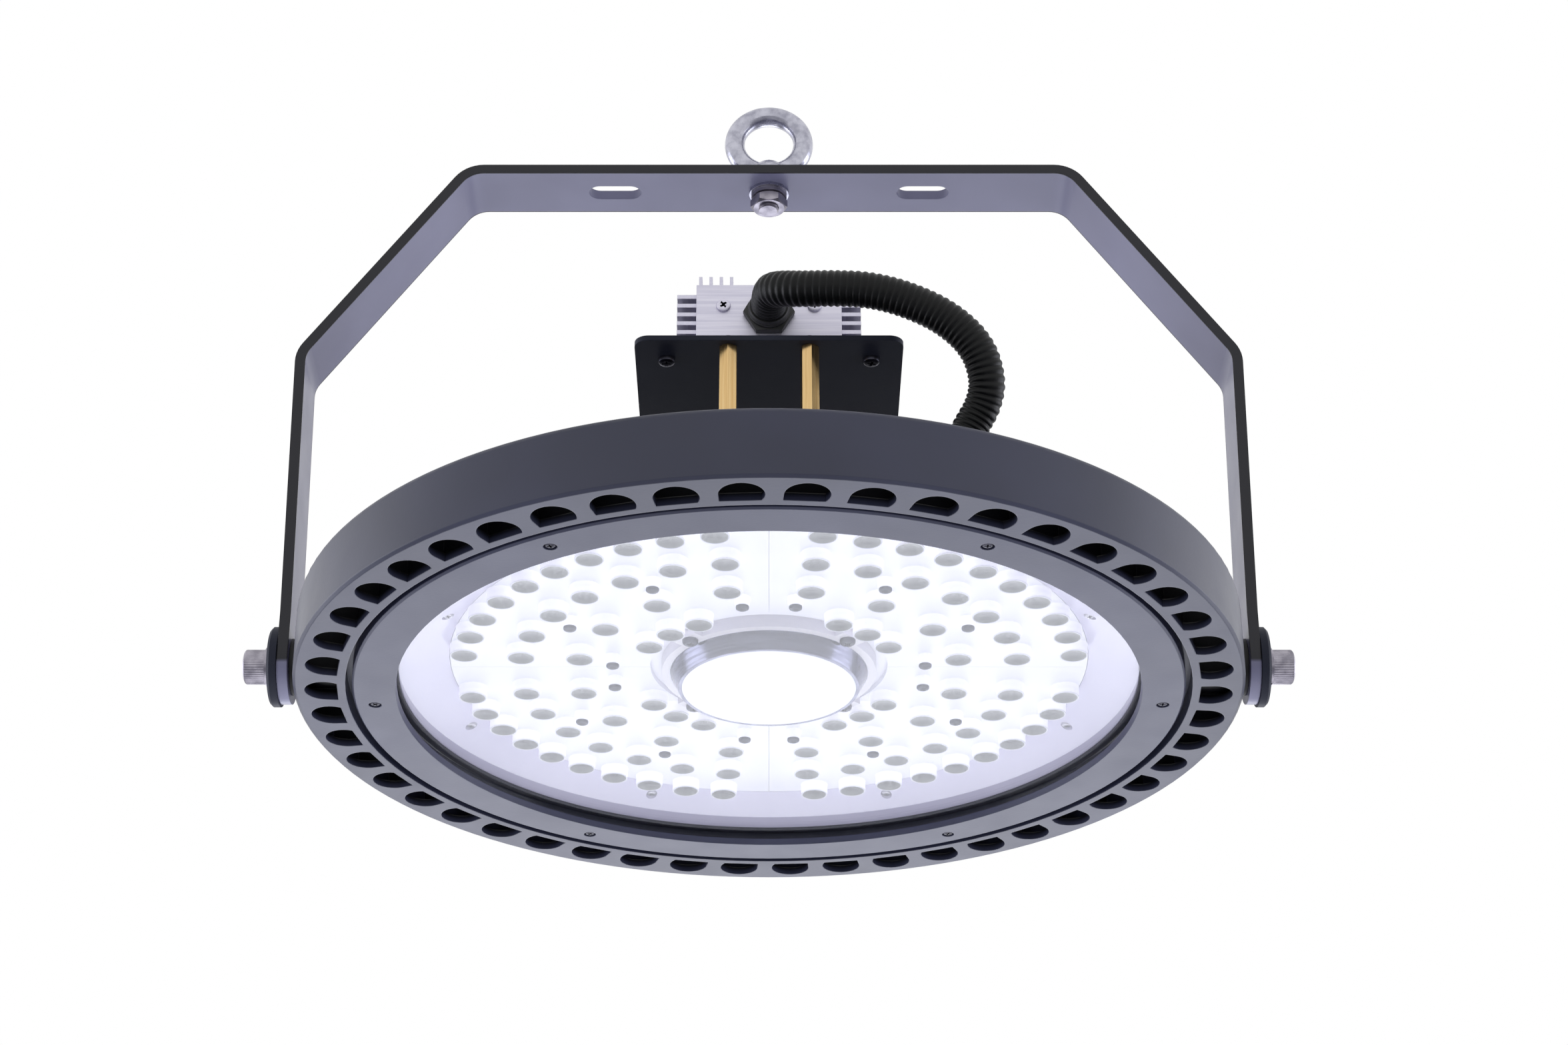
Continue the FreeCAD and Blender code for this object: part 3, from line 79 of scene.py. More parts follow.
LENS_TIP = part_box("lens_plate_1")[0].z
WEB_THICK = 0.8 * MM
BOARD_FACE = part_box("lens_plate_1")[1].z - WEB_THICK
BOARD_OUTER = 118.4 * MM
BOARD_INNER = 44.2 * MM
WEB_GAP = 0.05 * MM  # half the gap between two webs
SCREW_SINK = 0.6 * MM  # how far above the lens tips a lens screw's seat lies
CONE_SEAT = 14 * MM
HUB_SEAT = 12.8 * MM
BEZEL_SEAT = 1.6 * MM
PIVOT_HEIGHT = 15.5 * MM
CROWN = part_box("yoke")[1].z
EYE_CENTRE = CROWN + 19.4 * MM
SHELF_LOW, SHELF_HIGH = (corner.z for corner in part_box("driver_shelf"))
POST_TOP = 34 * MM
DRIVER_GLANDS = SHELF_HIGH + 21 * MM
DRIVER_END = 101 * MM
LAMP_GLAND = (66.5 * MM, -117 * MM, 26 * MM)

# Radii of the lamp's painted and bare zones, and of the painted shade in its vents and on the
# strap's edges
PAN_RADIUS = 142 * MM
VENT_INNER = 157.5 * MM
VENT_OUTER = 172 * MM
BEZEL_JOINT = 154.7 * MM
COLLAR_CONE = 36.9 * MM
STRAP_FACE = 13.5 * MM  # half the width of the strap inside its edges

# Side of the square that a lens's own map covers
LENS_MAP = 16 * MM

# Lens rings of one quadrant: radius in mm, first angle, lenses, step
LENS_RINGS = (
    (50.4, 30, 3, 15),
    (71.2, 12.1, 4, 22),
    (92.5, 10.1, 7, 11.75),
    (113.3, 9.3, 10, 7.93),
)
# Screws of one quadrant: radius in mm, angle
LENS_SCREWS = ((58.5, 9.3), (58.5, 80.7), (82.6, 29.7), (82.6, 60.3))

# Half the spacing of the screws in mm, across and front to back
STANDOFFS = (14.2, 116)
FOOT_SCREWS = (36, 108)
CAP_SCREWS = (16.3, 101)
CAP_SCREW_HEIGHTS = (8, 24.6)

# How the conduit runs, in mm, from the driver's gland round to the lamp's gland
CONDUIT_ROUTE = (
    (0, -107, 107),
    (0, -116.5, 107),
    (3.5, -123, 104),
    (11, -127.5, 101),
    (22, -130, 99.7),
    (35, -131.5, 98.2),
    (48.5, -131.5, 94),
    (62, -130.5, 87),
    (72, -128.5, 77),
    (75.5, -124.5, 66),
    (74, -120.5, 58.5),
    (70, -118, 52),
    (66.5, -117, 45.5),
    (66.5, -117, 37),
)


# Shader maths

class Wire:
    """One output socket, on which + - * ** abs() and the like add Math nodes."""

    def __init__(self, finish, socket):
        self.finish = finish
        self.socket = socket

    def math(self, operation, *values):
        inputs = dict(enumerate((self, *values)))
        return self.finish.add("ShaderNodeMath", {"operation": operation}, inputs)

    def reverse(self, operation, value):
        return self.finish.add("ShaderNodeMath", {"operation": operation}, {0: value, 1: self})

    def __add__(self, value):
        return self.math("ADD", value)

    def __radd__(self, value):
        return self.reverse("ADD", value)

    def __sub__(self, value):
        return self.math("SUBTRACT", value)

    def __rsub__(self, value):
        return self.reverse("SUBTRACT", value)

    def __mul__(self, value):
        return self.math("MULTIPLY", value)

    def __rmul__(self, value):
        return self.reverse("MULTIPLY", value)

    def __pow__(self, value):
        return self.math("POWER", value)

    def __abs__(self):
        return self.math("ABSOLUTE")

    def smooth(self, low, high):
        """Turns smoothly from 0 to 1 as this value goes from low to high."""
        settings = {"interpolation_type": "SMOOTHSTEP"}
        values = {"Value": self, 1: low, 2: high}
        return self.finish.add("ShaderNodeMapRange", settings, values)

    def past(self, edge, blur):
        """1 above the edge, 0 below it, blurred by that much either way."""
        return self.smooth(edge - blur, edge + blur)

    def short_of(self, edge, blur):
        """1 below the edge, 0 above it."""
        return self.smooth(edge + blur, edge - blur)


class NodeBench:
    """An empty node tree and the few calls that fill it."""

    def __init__(self, owner, end):
        owner.use_nodes = True
        self.tree = owner.node_tree
        self.tree.nodes.clear()
        self.end = self.tree.nodes.new(end)

    def add(self, kind, settings=None, inputs=None, output=0):
        """Adds a node, its settings first, then the values and links of its sockets."""
        node = self.tree.nodes.new(kind)
        for name, value in (settings or {}).items():
            setattr(node, name, value)
        for name, value in (inputs or {}).items():
            self.feed(node.inputs[name], value)
        return Wire(self, node.outputs[output])

    def feed(self, socket, value):
        if isinstance(value, Wire):
            self.tree.links.new(value.socket, socket)
        elif socket.type == "RGBA" and len(value) == 3:
            socket.default_value = (*value, 1)
        else:
            socket.default_value = value

    def close(self, shader):
        self.tree.links.new(shader.socket, self.end.inputs["Surface"])


class Finish(NodeBench):
    """A material, built from the object's own coordinates."""

    def __init__(self, name):
        self.material = bpy.data.materials.new(name)
        super().__init__(self.material, "ShaderNodeOutputMaterial")

    def place(self):
        return self.add("ShaderNodeTexCoord", output="Object")

    def axis(self, index):
        """The object's X, Y or Z at each point."""
        return self.add("ShaderNodeSeparateXYZ", None, {0: self.place()}, output=index)

    def radius(self):
        """Distance from the lamp's axis."""
        across, along = self.axis(0), self.axis(1)
        return (across * across + along * along) ** 0.5

    def mix(self, factor, first, second):
        """Mixes two colours."""
        values = {0: factor, 6: first, 7: second}
        return self.add("ShaderNodeMix", {"data_type": "RGBA"}, values, output=2)

    def stretched(self, scale):
        """The object's coordinates, scaled by a different amount along each axis."""
        return self.add("ShaderNodeMapping", None, {"Vector": self.place(), "Scale": scale})

    def noise(self, scale, detail=2.0, vector=None, roughness=0.5):
        values = {"Vector": vector or self.place(), "Scale": scale, "Detail": detail,
                  "Roughness": roughness}
        return self.add("ShaderNodeTexNoise", {"noise_dimensions": "3D"}, values)

    def rounded(self, radius):
        """A normal that softens every sharp edge by this radius."""
        return self.add("ShaderNodeBevel", {"samples": 4}, {"Radius": radius})

    def bump(self, height, strength, distance, normal=None):
        values = {"Height": height, "Strength": strength, "Distance": distance}
        if normal:
            values["Normal"] = normal
        return self.add("ShaderNodeBump", None, values)

    def surface(self, **sockets):
        """Ends the material in a Principled BSDF. Socket names are written with underscores."""
        names = {name.replace("_", " "): value for name, value in sockets.items()}
        self.close(self.add("ShaderNodeBsdfPrincipled", None, names))
        return self.material


# Finishes

def inside_pan(finish):
    """The white floor of the casting behind the boards."""
    inside = finish.radius().short_of(PAN_RADIUS, 0.2 * MM)
    return inside * finish.axis(2).short_of(18.5 * MM, 0.5 * MM)


def vent_painted_shade(finish):
    """Painted shade on the walls of the vents, which lie deep in shadow."""
    radius, depth = finish.radius(), finish.axis(2)
    ring = radius.past(VENT_INNER, 0.3 * MM) * radius.short_of(VENT_OUTER, 0.2 * MM)
    return ring * depth.past(1.8 * MM, 1.2 * MM) * depth.short_of(22 * MM, 2 * MM)


def bezel_groove(finish):
    """The dark joint round the outside of the bezel."""
    return finish.radius().past(BEZEL_JOINT, 0.2 * MM)


def shaded_strap_edges(finish):
    """Painted shade on the cut edges of the strap: they are coloured far darker than its faces, as
    its front edge reads in shade.
    """
    return abs(finish.axis(1)).past(STRAP_FACE, 0.2 * MM)


def powder_coat(name, colour, lift, roughness, edge, grain=900.0, zones=(), specular=0.5):
    """Baked powder over metal: fine orange peel, faint mottling, softened edges."""
    finish = Finish(name)
    peel = finish.noise(grain, 3.0)
    cloud = finish.noise(14.0, 3.0)
    base = finish.mix(cloud.smooth(0.35, 0.7), colour, lift)
    # Each zone paints its tone by place: the white pan floor and the dark bezel joint are real
    # colours, while the vents' walls and the strap's edges get painted shade
    for zone, tone in zones:
        base = finish.mix(zone(finish), base, tone)
    worn = roughness + (finish.noise(60.0, 4.0) - 0.5) * 0.14
    normal = finish.bump(peel, 0.35, 0.06 * MM, finish.rounded(edge))
    return finish.surface(Base_Color=base, Roughness=worn, Normal=normal,
                          Specular_IOR_Level=specular)


def brushed(name, colour, darker, roughness, across, edge=0.3 * MM):
    """Metal with fine lines, drawn out along the axis whose scale is small."""
    finish = Finish(name)
    lines = finish.noise(1.0, 4.0, finish.stretched(across), 0.7)
    base = finish.mix(lines.smooth(0.3, 0.7), darker, colour)
    rough = roughness + (lines - 0.5) * 0.2
    normal = finish.bump(lines, 0.12, 0.03 * MM, finish.rounded(edge))
    return finish.surface(Base_Color=base, Metallic=1.0, Roughness=rough, Normal=normal)


def plated(name, colour, darker, roughness):
    """Bright plating with the soft cloudiness of zinc."""
    finish = Finish(name)
    cloud = finish.noise(240.0, 5.0)
    base = finish.mix(cloud.smooth(0.3, 0.75), colour, darker)
    rough = roughness + (cloud - 0.5) * 0.22
    normal = finish.bump(finish.noise(1400.0, 2.0), 0.15, 0.03 * MM)
    return finish.surface(Base_Color=base, Metallic=1.0, Roughness=rough, Normal=normal)


def moulded(name, colour, lift, roughness, edge=0.25 * MM, gloss=0.0):
    """Moulded plastic or rubber with a fine spark-eroded grain."""
    finish = Finish(name)
    grain = finish.noise(1600.0, 2.0)
    base = finish.mix(finish.noise(25.0, 3.0).smooth(0.35, 0.7), colour, lift)
    rough = roughness + (grain - 0.5) * 0.12
    normal = finish.bump(grain, 0.2, 0.03 * MM, finish.rounded(edge))
    return finish.surface(Base_Color=base, Roughness=rough, Normal=normal, Coat_Weight=gloss)


def collar_finish():
    """The hub's collar: its cone is polished, its flange painted white."""
    finish = Finish("hub collar")
    lines = finish.noise(1.0, 4.0, finish.stretched((60, 60, 1600)), 0.7)
    bright = finish.mix(lines.smooth(0.3, 0.7), srgb(78, 78, 96), srgb(128, 128, 146))
    painted = finish.radius().past(COLLAR_CONE, 0.2 * MM)
    base = finish.mix(painted, bright, srgb(223, 220, 227))
    normal = finish.bump(lines, 0.12, 0.03 * MM, finish.rounded(0.3 * MM))
    return finish.surface(Base_Color=base, Metallic=1 - painted, Normal=normal,
                          Roughness=0.16 + painted * 0.25)


def board_white(settings):
    """White solder mask: barely uneven, glossy, with a faint weave of the laminate."""
    finish = Finish("white solder mask")
    weave = finish.noise(1.0, 1.0, finish.stretched((2600, 400, 400)))
    cloud = finish.noise(30.0, 4.0)
    duller = tuple(0.93 * value for value in settings.board)
    base = finish.mix(cloud.smooth(0.3, 0.75), settings.board, duller)
    normal = finish.bump(weave, 0.05, 0.02 * MM)
    return finish.surface(Base_Color=base, Roughness=0.35 + cloud * 0.15, Normal=normal)


def lens_finish(settings, lens):
    """Lens over a white board. Its own map carries the grey emitter and the wall, which glows with
    painted light so that it reads as bright as the board.
    """
    finish = Finish("moulded lens")
    spot = finish.add("ShaderNodeUVMap", {"uv_map": "lens"})
    across, along = (
        (finish.add("ShaderNodeSeparateXYZ", None, {0: spot}, output=index) - 0.5) * LENS_MAP
        for index in (0, 1))
    radius = (across * across + along * along) ** 0.5
    dot = radius.smooth(0.5 * lens.dot_width, 0.4 * lens.dot_width)
    chip = abs(abs(across) - 1.5 * MM).smooth(1.4 * MM, 0.7 * MM)
    chip = chip * abs(along).smooth(2.4 * MM, 1.5 * MM)
    emitter = finish.mix(chip, settings.dot, settings.chip)
    base = finish.mix(dot, settings.board, emitter)
    wall = radius.past(lens.crown + 0.05 * MM, 0.04 * MM)
    wall = wall * radius.short_of(lens.base + 0.5 * MM, 0.2 * MM)
    ripple = finish.noise(500.0, 1.0)
    normal = finish.bump(ripple, 0.06, 0.05 * MM)
    # Painted light: the wall glows so that it reads as white as the board round it
    wall_painted_light = finish.mix(wall, (0, 0, 0), settings.wall_painted_light)
    return finish.surface(Base_Color=base, Roughness=0.22 + ripple * 0.1, Normal=normal,
                          Emission_Color=wall_painted_light, Emission_Strength=1.0, Specular_IOR_Level=0.2)


def cover_glass():
    """Tempered glass that lets the light through and only mirrors a little."""
    finish = Finish("cover glass")
    clear = finish.add("ShaderNodeBsdfTransparent", None, {"Color": (0.985, 0.99, 0.995)})
    smear = finish.noise(9.0, 3.0)
    shine = finish.add("ShaderNodeBsdfGlossy", None, {
        "Color": (1.0, 1.0, 1.0), "Roughness": 0.03 + smear * 0.05})
    facing = finish.add("ShaderNodeFresnel", None, {"IOR": 1.45})
    mixed = finish.add("ShaderNodeMixShader", None, {0: facing * 0.16, 1: clear, 2: shine})
    finish.close(mixed)
    return finish.material


def ribbed_nylon(settings):
    """Dull nylon of the conduit."""
    finish = Finish("conduit nylon")
    grain = finish.noise(900.0, 3.0)
    base = finish.mix(grain.smooth(0.4, 0.8), settings.nylon, settings.nylon_lift)
    rough = 0.42 + (grain - 0.5) * 0.2
    return finish.surface(Base_Color=base, Roughness=rough, Specular_IOR_Level=0.2,
                          Normal=finish.bump(grain, 0.2, 0.05 * MM))


FINISHES = {}


def make_finishes(scene):
    colours = scene.high_bay_finish
    lens = scene.high_bay_lens
    FINISHES.update({
        "cast": powder_coat(
            "cast black", colours.cast, colours.cast_lift, 0.36, 0.5 * MM, 700,
            # The vents' walls get painted shade
            ((inside_pan, colours.board), (vent_painted_shade, colours.vent_shade_and_joint))),
        "bezel": powder_coat(
            "bezel paint", colours.bezel, colours.bezel_lift, 0.36, 0.4 * MM,
            zones=((bezel_groove, colours.vent_shade_and_joint),)),
        "strap": powder_coat(
            "strap black", colours.strap, colours.strap_lift, 0.33, 0.5 * MM,
            # The strap's cut edges get painted shade
            zones=((shaded_strap_edges, colours.strap_edge_shade),), specular=0.4),
        "shelf": powder_coat(
            "shelf black", colours.shelf, colours.shelf_lift, 0.5, 0.3 * MM, specular=0.15),
        "driver": brushed("anodised extrusion", colours.driver, colours.driver_dark, 0.42,
                          (1500, 6, 1500)),
        "cap": brushed("end cap aluminium", colours.cap, colours.driver_dark, 0.5,
                       (20, 900, 900)),
        "zinc": plated("bright zinc", srgb(192, 192, 204), srgb(150, 150, 164), 0.26),
        "steel": plated("stainless screw", srgb(190, 188, 196), srgb(150, 148, 158), 0.3),
        "bolt": plated("bolt zinc", srgb(172, 168, 178), srgb(130, 127, 138), 0.34),
        "brass": brushed("brass", colours.brass, colours.brass_dark, 0.24, (900, 900, 12)),
        "collar": collar_finish(),
        "oxide": plated("black oxide", srgb(70, 70, 80), srgb(48, 48, 56), 0.36),
        "nylon": moulded("black nylon", colours.nylon, colours.nylon_lift, 0.5),
        "conduit": ribbed_nylon(colours),
        "silicone": moulded("silicone", srgb(30, 32, 46), srgb(40, 42, 56), 0.5),
        "white": moulded("gloss white", srgb(238, 238, 245), srgb(230, 230, 240), 0.3,
                         gloss=0.3),
        # Painted shade: the white reflector plastic is coloured the lilac grey of its shaded far
        # wall
        "reflector": moulded("reflector white", srgb(197, 193, 216), srgb(190, 186, 210), 0.34,
                             gloss=0.2),
        "potting": moulded("potting", srgb(30, 30, 32), srgb(40, 40, 42), 0.6),
        "board": board_white(colours),
        "lens": lens_finish(colours, lens),
        "glass": cover_glass(),
    })


CAD_FINISHES = {
    "housing": "cast",
    "bezel_ring": "bezel",
    "glass_cover": "glass",
    "glass_gasket": "silicone",
    "reflector_ring": "reflector",
    "hub_collar": "collar",
    "hub_plate": "white",
    "terminal_block": "white",
    "yoke": "strap",
    "driver_shelf": "shelf",
    "driver_case": "driver",
    "driver_cap_front": "cap",
    "driver_cap_rear": "cap",
    "driver_core": "potting",
    "eye_washer": "zinc",
}
for quadrant in QUADRANTS:
    CAD_FINISHES[f"led_board_{quadrant}"] = "board"
for side, _ in SIDES:
    CAD_FINISHES[f"pivot_spacer_{side}"] = "nylon"
    CAD_FINISHES[f"pivot_disc_{side}"] = "shelf"


def paint_node(name, key):
    """Gives a CAD node its finish."""
    slots = NODES[name].data.materials
    slots.clear()
    slots.append(FINISHES[key])


# Mesh tools. Each shape is added to one bmesh, and its new vertices come back.

def turn(mesh, profile, steps=32, angle=FULL_TURN, climb=0.0):
    """Spins a line of (radius, height) points about the Z axis."""
    verts = [mesh.verts.new((radius, 0, height)) for radius, height in profile]
    edges = [mesh.edges.new(pair) for pair in zip(verts, verts[1:])]
    before = set(mesh.verts) - set(verts)
    whole = abs(angle - FULL_TURN) < 1e-6 and climb == 0
    bmesh.ops.spin(
        mesh, geom=verts + edges, cent=(0, 0, 0), axis=UP, dvec=(0, 0, climb / steps),
        angle=angle, steps=steps, use_merge=whole, use_duplicate=False)
    made = [vert for vert in mesh.verts if vert not in before]
    bmesh.ops.remove_doubles(mesh, verts=made, dist=1e-7)
    return [vert for vert in mesh.verts if vert not in before]


def move(mesh, verts, matrix):
    bmesh.ops.transform(mesh, matrix=matrix, verts=verts)
    return verts


def facing(direction, place=(0, 0, 0)):
    """Stands +Z along the direction, at the place."""
    spin = UP.rotation_difference(Vector(direction)).to_matrix().to_4x4()
    return Matrix.Translation(Vector(place)) @ spin


def open_rim(verts, height):
    """The edges of the open loop at this height."""
    rim = {edge for vert in verts for edge in vert.link_edges if len(edge.link_faces) == 1}
    return [edge for edge in rim
            if all(abs(vert.co.z - height) < 1e-6 for vert in edge.verts)]


def close_with_recess(mesh, verts, height, outline, depth, taper=0.8):
    """Closes the open top of a turned shape round a sunk recess of the given outline."""
    corners = [mesh.verts.new((x, y, height)) for x, y in outline]
    count = len(corners)
    inner = [mesh.edges.new((corners[i], corners[(i + 1) % count])) for i in range(count)]
    bmesh.ops.bridge_loops(mesh, edges=open_rim(verts, height) + inner)
    sunk = bmesh.ops.extrude_edge_only(mesh, edges=inner)["geom"]
    low = [item for item in sunk if isinstance(item, bmesh.types.BMVert)]
    bmesh.ops.translate(mesh, verts=low, vec=(0, 0, -depth))
    bmesh.ops.scale(mesh, verts=low, vec=(taper, taper, 1))
    floor = [item for item in sunk if isinstance(item, bmesh.types.BMEdge)
             and all(vert in low for vert in item.verts)]
    bmesh.ops.contextual_create(mesh, geom=floor)
    return verts + corners + low


def cross_outline(reach, half):
    """A cross recess, seen from above."""
    arm = ((reach, -half), (reach, half), (half, half))
    return [Matrix.Rotation(quarter * math.pi / 2, 2) @ Vector(point)
            for quarter in range(4) for point in arm]


def hex_outline(flats):
    """The corners of a hexagon, from its size across the flats."""
    return [polar(flats / 2 / math.cos(math.pi / 6), 60 * i, 0)[:2] for i in range(6)]


def screw(mesh, head, height, shank, length, steps=24):
    """A pan head screw with a cross recess. Its seat is at Z 0 and its head stands up."""
    verts = turn(mesh, (
        (0, -length),
        (0.6 * shank, -length),
        (shank, -length + 0.5 * shank),
        (shank, 0),
        (head, 0),
        (head, 0.45 * height),
        (0.93 * head, 0.75 * height),
        (0.78 * head, 0.93 * height),
        (0.62 * head, height),
    ), steps)
    outline = cross_outline(0.52 * head, 0.13 * head)
    return close_with_recess(mesh, verts, height, outline, 0.6 * height)


def slice_off(mesh, verts, point, normal):
    """Cuts away what lies beyond the plane, closes the cut and returns what is left."""
    group = set(verts)
    edges = {edge for vert in group for edge in vert.link_edges}
    faces = {face for vert in group for face in vert.link_faces}
    cut = bmesh.ops.bisect_plane(
        mesh, geom=[*group, *edges, *faces], plane_co=point, plane_no=normal,
        clear_outer=True, dist=1e-7)["geom_cut"]
    rim = [item for item in cut if isinstance(item, bmesh.types.BMEdge)]
    bmesh.ops.holes_fill(mesh, edges=rim, sides=0)
    left = {vert for vert in group if vert.is_valid}
    return left | {item for item in cut if isinstance(item, bmesh.types.BMVert)}


def cut_flats(mesh, verts, flats):
    """Cuts a turned blank to a hexagon, which leaves its chamfers as curved corners."""
    for index in range(6):
        angle = (index + 0.5) * FULL_TURN / 6
        normal = Vector((math.cos(angle), math.sin(angle), 0))
        verts = slice_off(mesh, verts, normal * flats / 2, normal)
    return list(verts)


def hexagon(mesh, flats, low, high, bore=0.0, chamfer=0.5 * MM, steps=36):
    """A hexagonal nut or bar with turned chamfers, from low to high."""
    corner = flats / 2 / math.cos(math.pi / 6)
    lathe = [
        (bore, low), (flats / 2 * 0.96, low), (corner, low + chamfer),
        (corner, high - chamfer), (flats / 2 * 0.96, high), (bore, high),
    ]
    if bore:
        lathe.append(lathe[0])
    return cut_flats(mesh, turn(mesh, lathe, steps), flats)


def thread(mesh, radius, pitch, low, high):
    """A rod with a helical thread, cut flat at both ends."""
    turns = int((high - low) / pitch) + 3
    root = radius - 0.6 * pitch
    profile = []
    for index in range(turns):
        start = low + (index - 1) * pitch
        profile += [(root, start), (radius, start + 0.4 * pitch), (radius, start + 0.55 * pitch)]
    profile.append((root, low + (turns - 1) * pitch))
    verts = turn(mesh, profile, 24, climb=pitch)
    for height, normal in ((low, (0, 0, -1)), (high, (0, 0, 1))):
        verts = slice_off(mesh, verts, (0, 0, height), normal)
    return list(verts)


def split_washer(mesh, low, high):
    """An M8 spring washer: a ring cut through and sprung a little out of line."""
    bore, outer = 4.2 * MM, 7.2 * MM
    lift = 0.12 * (high - low)
    section = ((bore, low), (outer, low), (outer, high - lift), (bore, high - lift), (bore, low))
    verts = turn(mesh, section, 48, math.radians(351), lift)
    ends = {edge for vert in verts for edge in vert.link_edges if len(edge.link_faces) == 1}
    bmesh.ops.holes_fill(mesh, edges=list(ends), sides=0)
    return verts


def piece(name, mesh, body, key, replaced=()):
    """Ends a bmesh as a named object that rides on a body and stands for CAD nodes."""
    bmesh.ops.recalc_face_normals(mesh, faces=mesh.faces)
    data = bpy.data.meshes.new(name)
    mesh.to_mesh(data)
    mesh.free()
    made = bpy.data.objects.new(name, data)
    bpy.context.scene.collection.objects.link(made)
    data.materials.append(FINISHES[key])
    data.shade_smooth()
    data.set_sharp_from_angle(angle=math.radians(32))
    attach(made, body)
    if replaced:
        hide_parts(*replaced)
    return made


def bake(made):
    """Keeps what the modifiers make of the piece as its own mesh."""
    graph = bpy.context.evaluated_depsgraph_get()
    data = bpy.data.meshes.new_from_object(made.evaluated_get(graph))
    made.modifiers.clear()
    made.data = data


def polar(radius, angle, height):
    """A place at a radius and an angle in degrees."""
    angle = math.radians(angle)
    return (radius * math.cos(angle), radius * math.sin(angle), height)


def four_corners(half_spacing):
    """The corners of a rectangle round the lamp's axis."""
    x, y = half_spacing
    return [(-x, -y), (-x, y), (x, -y), (x, y)]


def quarter_turns(places):
    """The places, repeated in all four quadrants."""
    return [(radius, angle + 90 * quarter) for quarter in range(4) for radius, angle in places]


# Settings

def size_setting(name, description, default):
    return bpy.props.FloatProperty(
        name=name, description=description, default=default, min=0.0, unit="LENGTH",
        subtype="DISTANCE", precision=5)


def colour_setting(name, description, default):
    return bpy.props.FloatVectorProperty(
        name=name, description=description, default=default, size=3, min=0.0, max=1.0,
        subtype="COLOR")


class HighBayFinishSettings(bpy.types.PropertyGroup):
    """Colours of the light's finishes"""

    cast: colour_setting("Casting", "Powder coat of the head", srgb(50, 53, 74))
    cast_lift: colour_setting("Casting, lighter", "Where that coat is thin", srgb(60, 63, 86))
    bezel: colour_setting("Bezel", "Paint of the bezel ring", srgb(58, 61, 84))
    bezel_lift: colour_setting("Bezel, lighter", "Where that paint is thin", srgb(66, 69, 93))
    strap: colour_setting("Yoke", "Powder coat of the yoke", srgb(132, 132, 160))
    # Painted shade for the strap's cut edges
    strap_edge_shade: colour_setting("Yoke edges", "Cut edges of the strap", srgb(22, 22, 32))
    strap_lift: colour_setting("Yoke, lighter", "Where that coat is thin", srgb(144, 144, 173))
    shelf: colour_setting("Shelf", "Powder coat of the driver shelf", srgb(40, 43, 56))
    shelf_lift: colour_setting("Shelf, lighter", "Where its coat is thin", srgb(48, 51, 64))
    # Painted shade for the walls of the vents; the same tone marks the real dark joint round the
    # bezel
    vent_shade_and_joint: colour_setting("Vents", "Walls of the vents, and the bezel's joint", srgb(12, 12, 18))
    driver: colour_setting("Driver", "Anodised extrusion", srgb(208, 206, 220))
    driver_dark: colour_setting("Driver lines", "Darker drawing lines", srgb(198, 196, 212))
    cap: colour_setting("End caps", "Aluminium of the caps", srgb(220, 218, 230))
    brass: colour_setting("Brass", "Standoffs", srgb(226, 196, 144))
    brass_dark: colour_setting("Brass lines", "Darker turning lines", srgb(206, 170, 114))
    nylon: colour_setting("Nylon", "Glands, spacers and conduit", srgb(13, 14, 15))
    nylon_lift: colour_setting("Nylon, lighter", "Worn nylon", srgb(20, 22, 23))
    board: colour_setting("Board", "White solder mask and lens webs", srgb(240, 240, 248))
    dot: colour_setting("Emitter", "Grey of an LED seen through its lens", srgb(104, 105, 102))
    # Painted light: the lens walls glow in this colour, though they are no lamp
    wall_painted_light: colour_setting("Lens wall", "Light that the wall of a lens leads down", (0.3, 0.3, 0.34))
    chip: colour_setting("Chip", "The darker chips inside it", srgb(88, 88, 87))


class HighBayLensSettings(bpy.types.PropertyGroup):
    """Shape of the lenses"""

    base: size_setting("Base", "Radius of a lens at its web", 5.5 * MM)
    crown: size_setting("Crown", "Radius of the lens's flat tip", 5.15 * MM)
    dish: size_setting("Dish", "How far the tip is hollow", 0.6 * MM)
    dot_width: size_setting("Emitter width", "Grey spot under a lens", 10.6 * MM)


class HighBayConduitSettings(bpy.types.PropertyGroup):
    """Shape of the corrugated conduit"""

    outside: size_setting("Outside", "Diameter over the ribs", 12.8 * MM)
    groove: size_setting("Groove", "Depth of the corrugation", 0.4 * MM)
    pitch: size_setting("Pitch", "Distance between ribs", 2.3 * MM)


class HighBayStageSettings(bpy.types.PropertyGroup):
    """Camera, lamps and room"""

    lens: bpy.props.FloatProperty(
        name="Lens", description="Focal length on a 36 mm sensor", default=69.08, min=1.0,
        subtype="DISTANCE_CAMERA")
    distance: size_setting("Distance", "Camera in front of the lamp's axis", 1.015)
    drop: size_setting("Drop", "Camera below the bezel", 0.4653)
    tilt: bpy.props.FloatProperty(
        name="Tilt", description="How far the camera looks up", default=math.radians(28.1),
        subtype="ANGLE")
    room: bpy.props.FloatProperty(
        name="Room light", description="Strength of the even light", default=0.46, min=0.0)
    side_power: bpy.props.FloatProperty(
        name="Side lamps", description="Power of each side lamp", default=11.0, min=0.0,
        subtype="POWER")
    low_power: bpy.props.FloatProperty(
        name="Low lamp", description="Power of the lamp below the light", default=5.0, min=0.0,
        subtype="POWER")
    back_power: bpy.props.FloatProperty(
        name="Back lamp", description="Power of the lamp low behind the light", default=17.0,
        min=0.0, subtype="POWER")


# Operators

class HIGHBAY_OT_finishes(bpy.types.Operator):
    """Mix the finishes and paint the CAD nodes that stay in view"""

    bl_idname = "highbay.finishes"
    bl_label = "Finishes"

    def execute(self, context):
        make_finishes(context.scene)
        for name, key in CAD_FINISHES.items():
            paint_node(name, key)
        return {"FINISHED"}


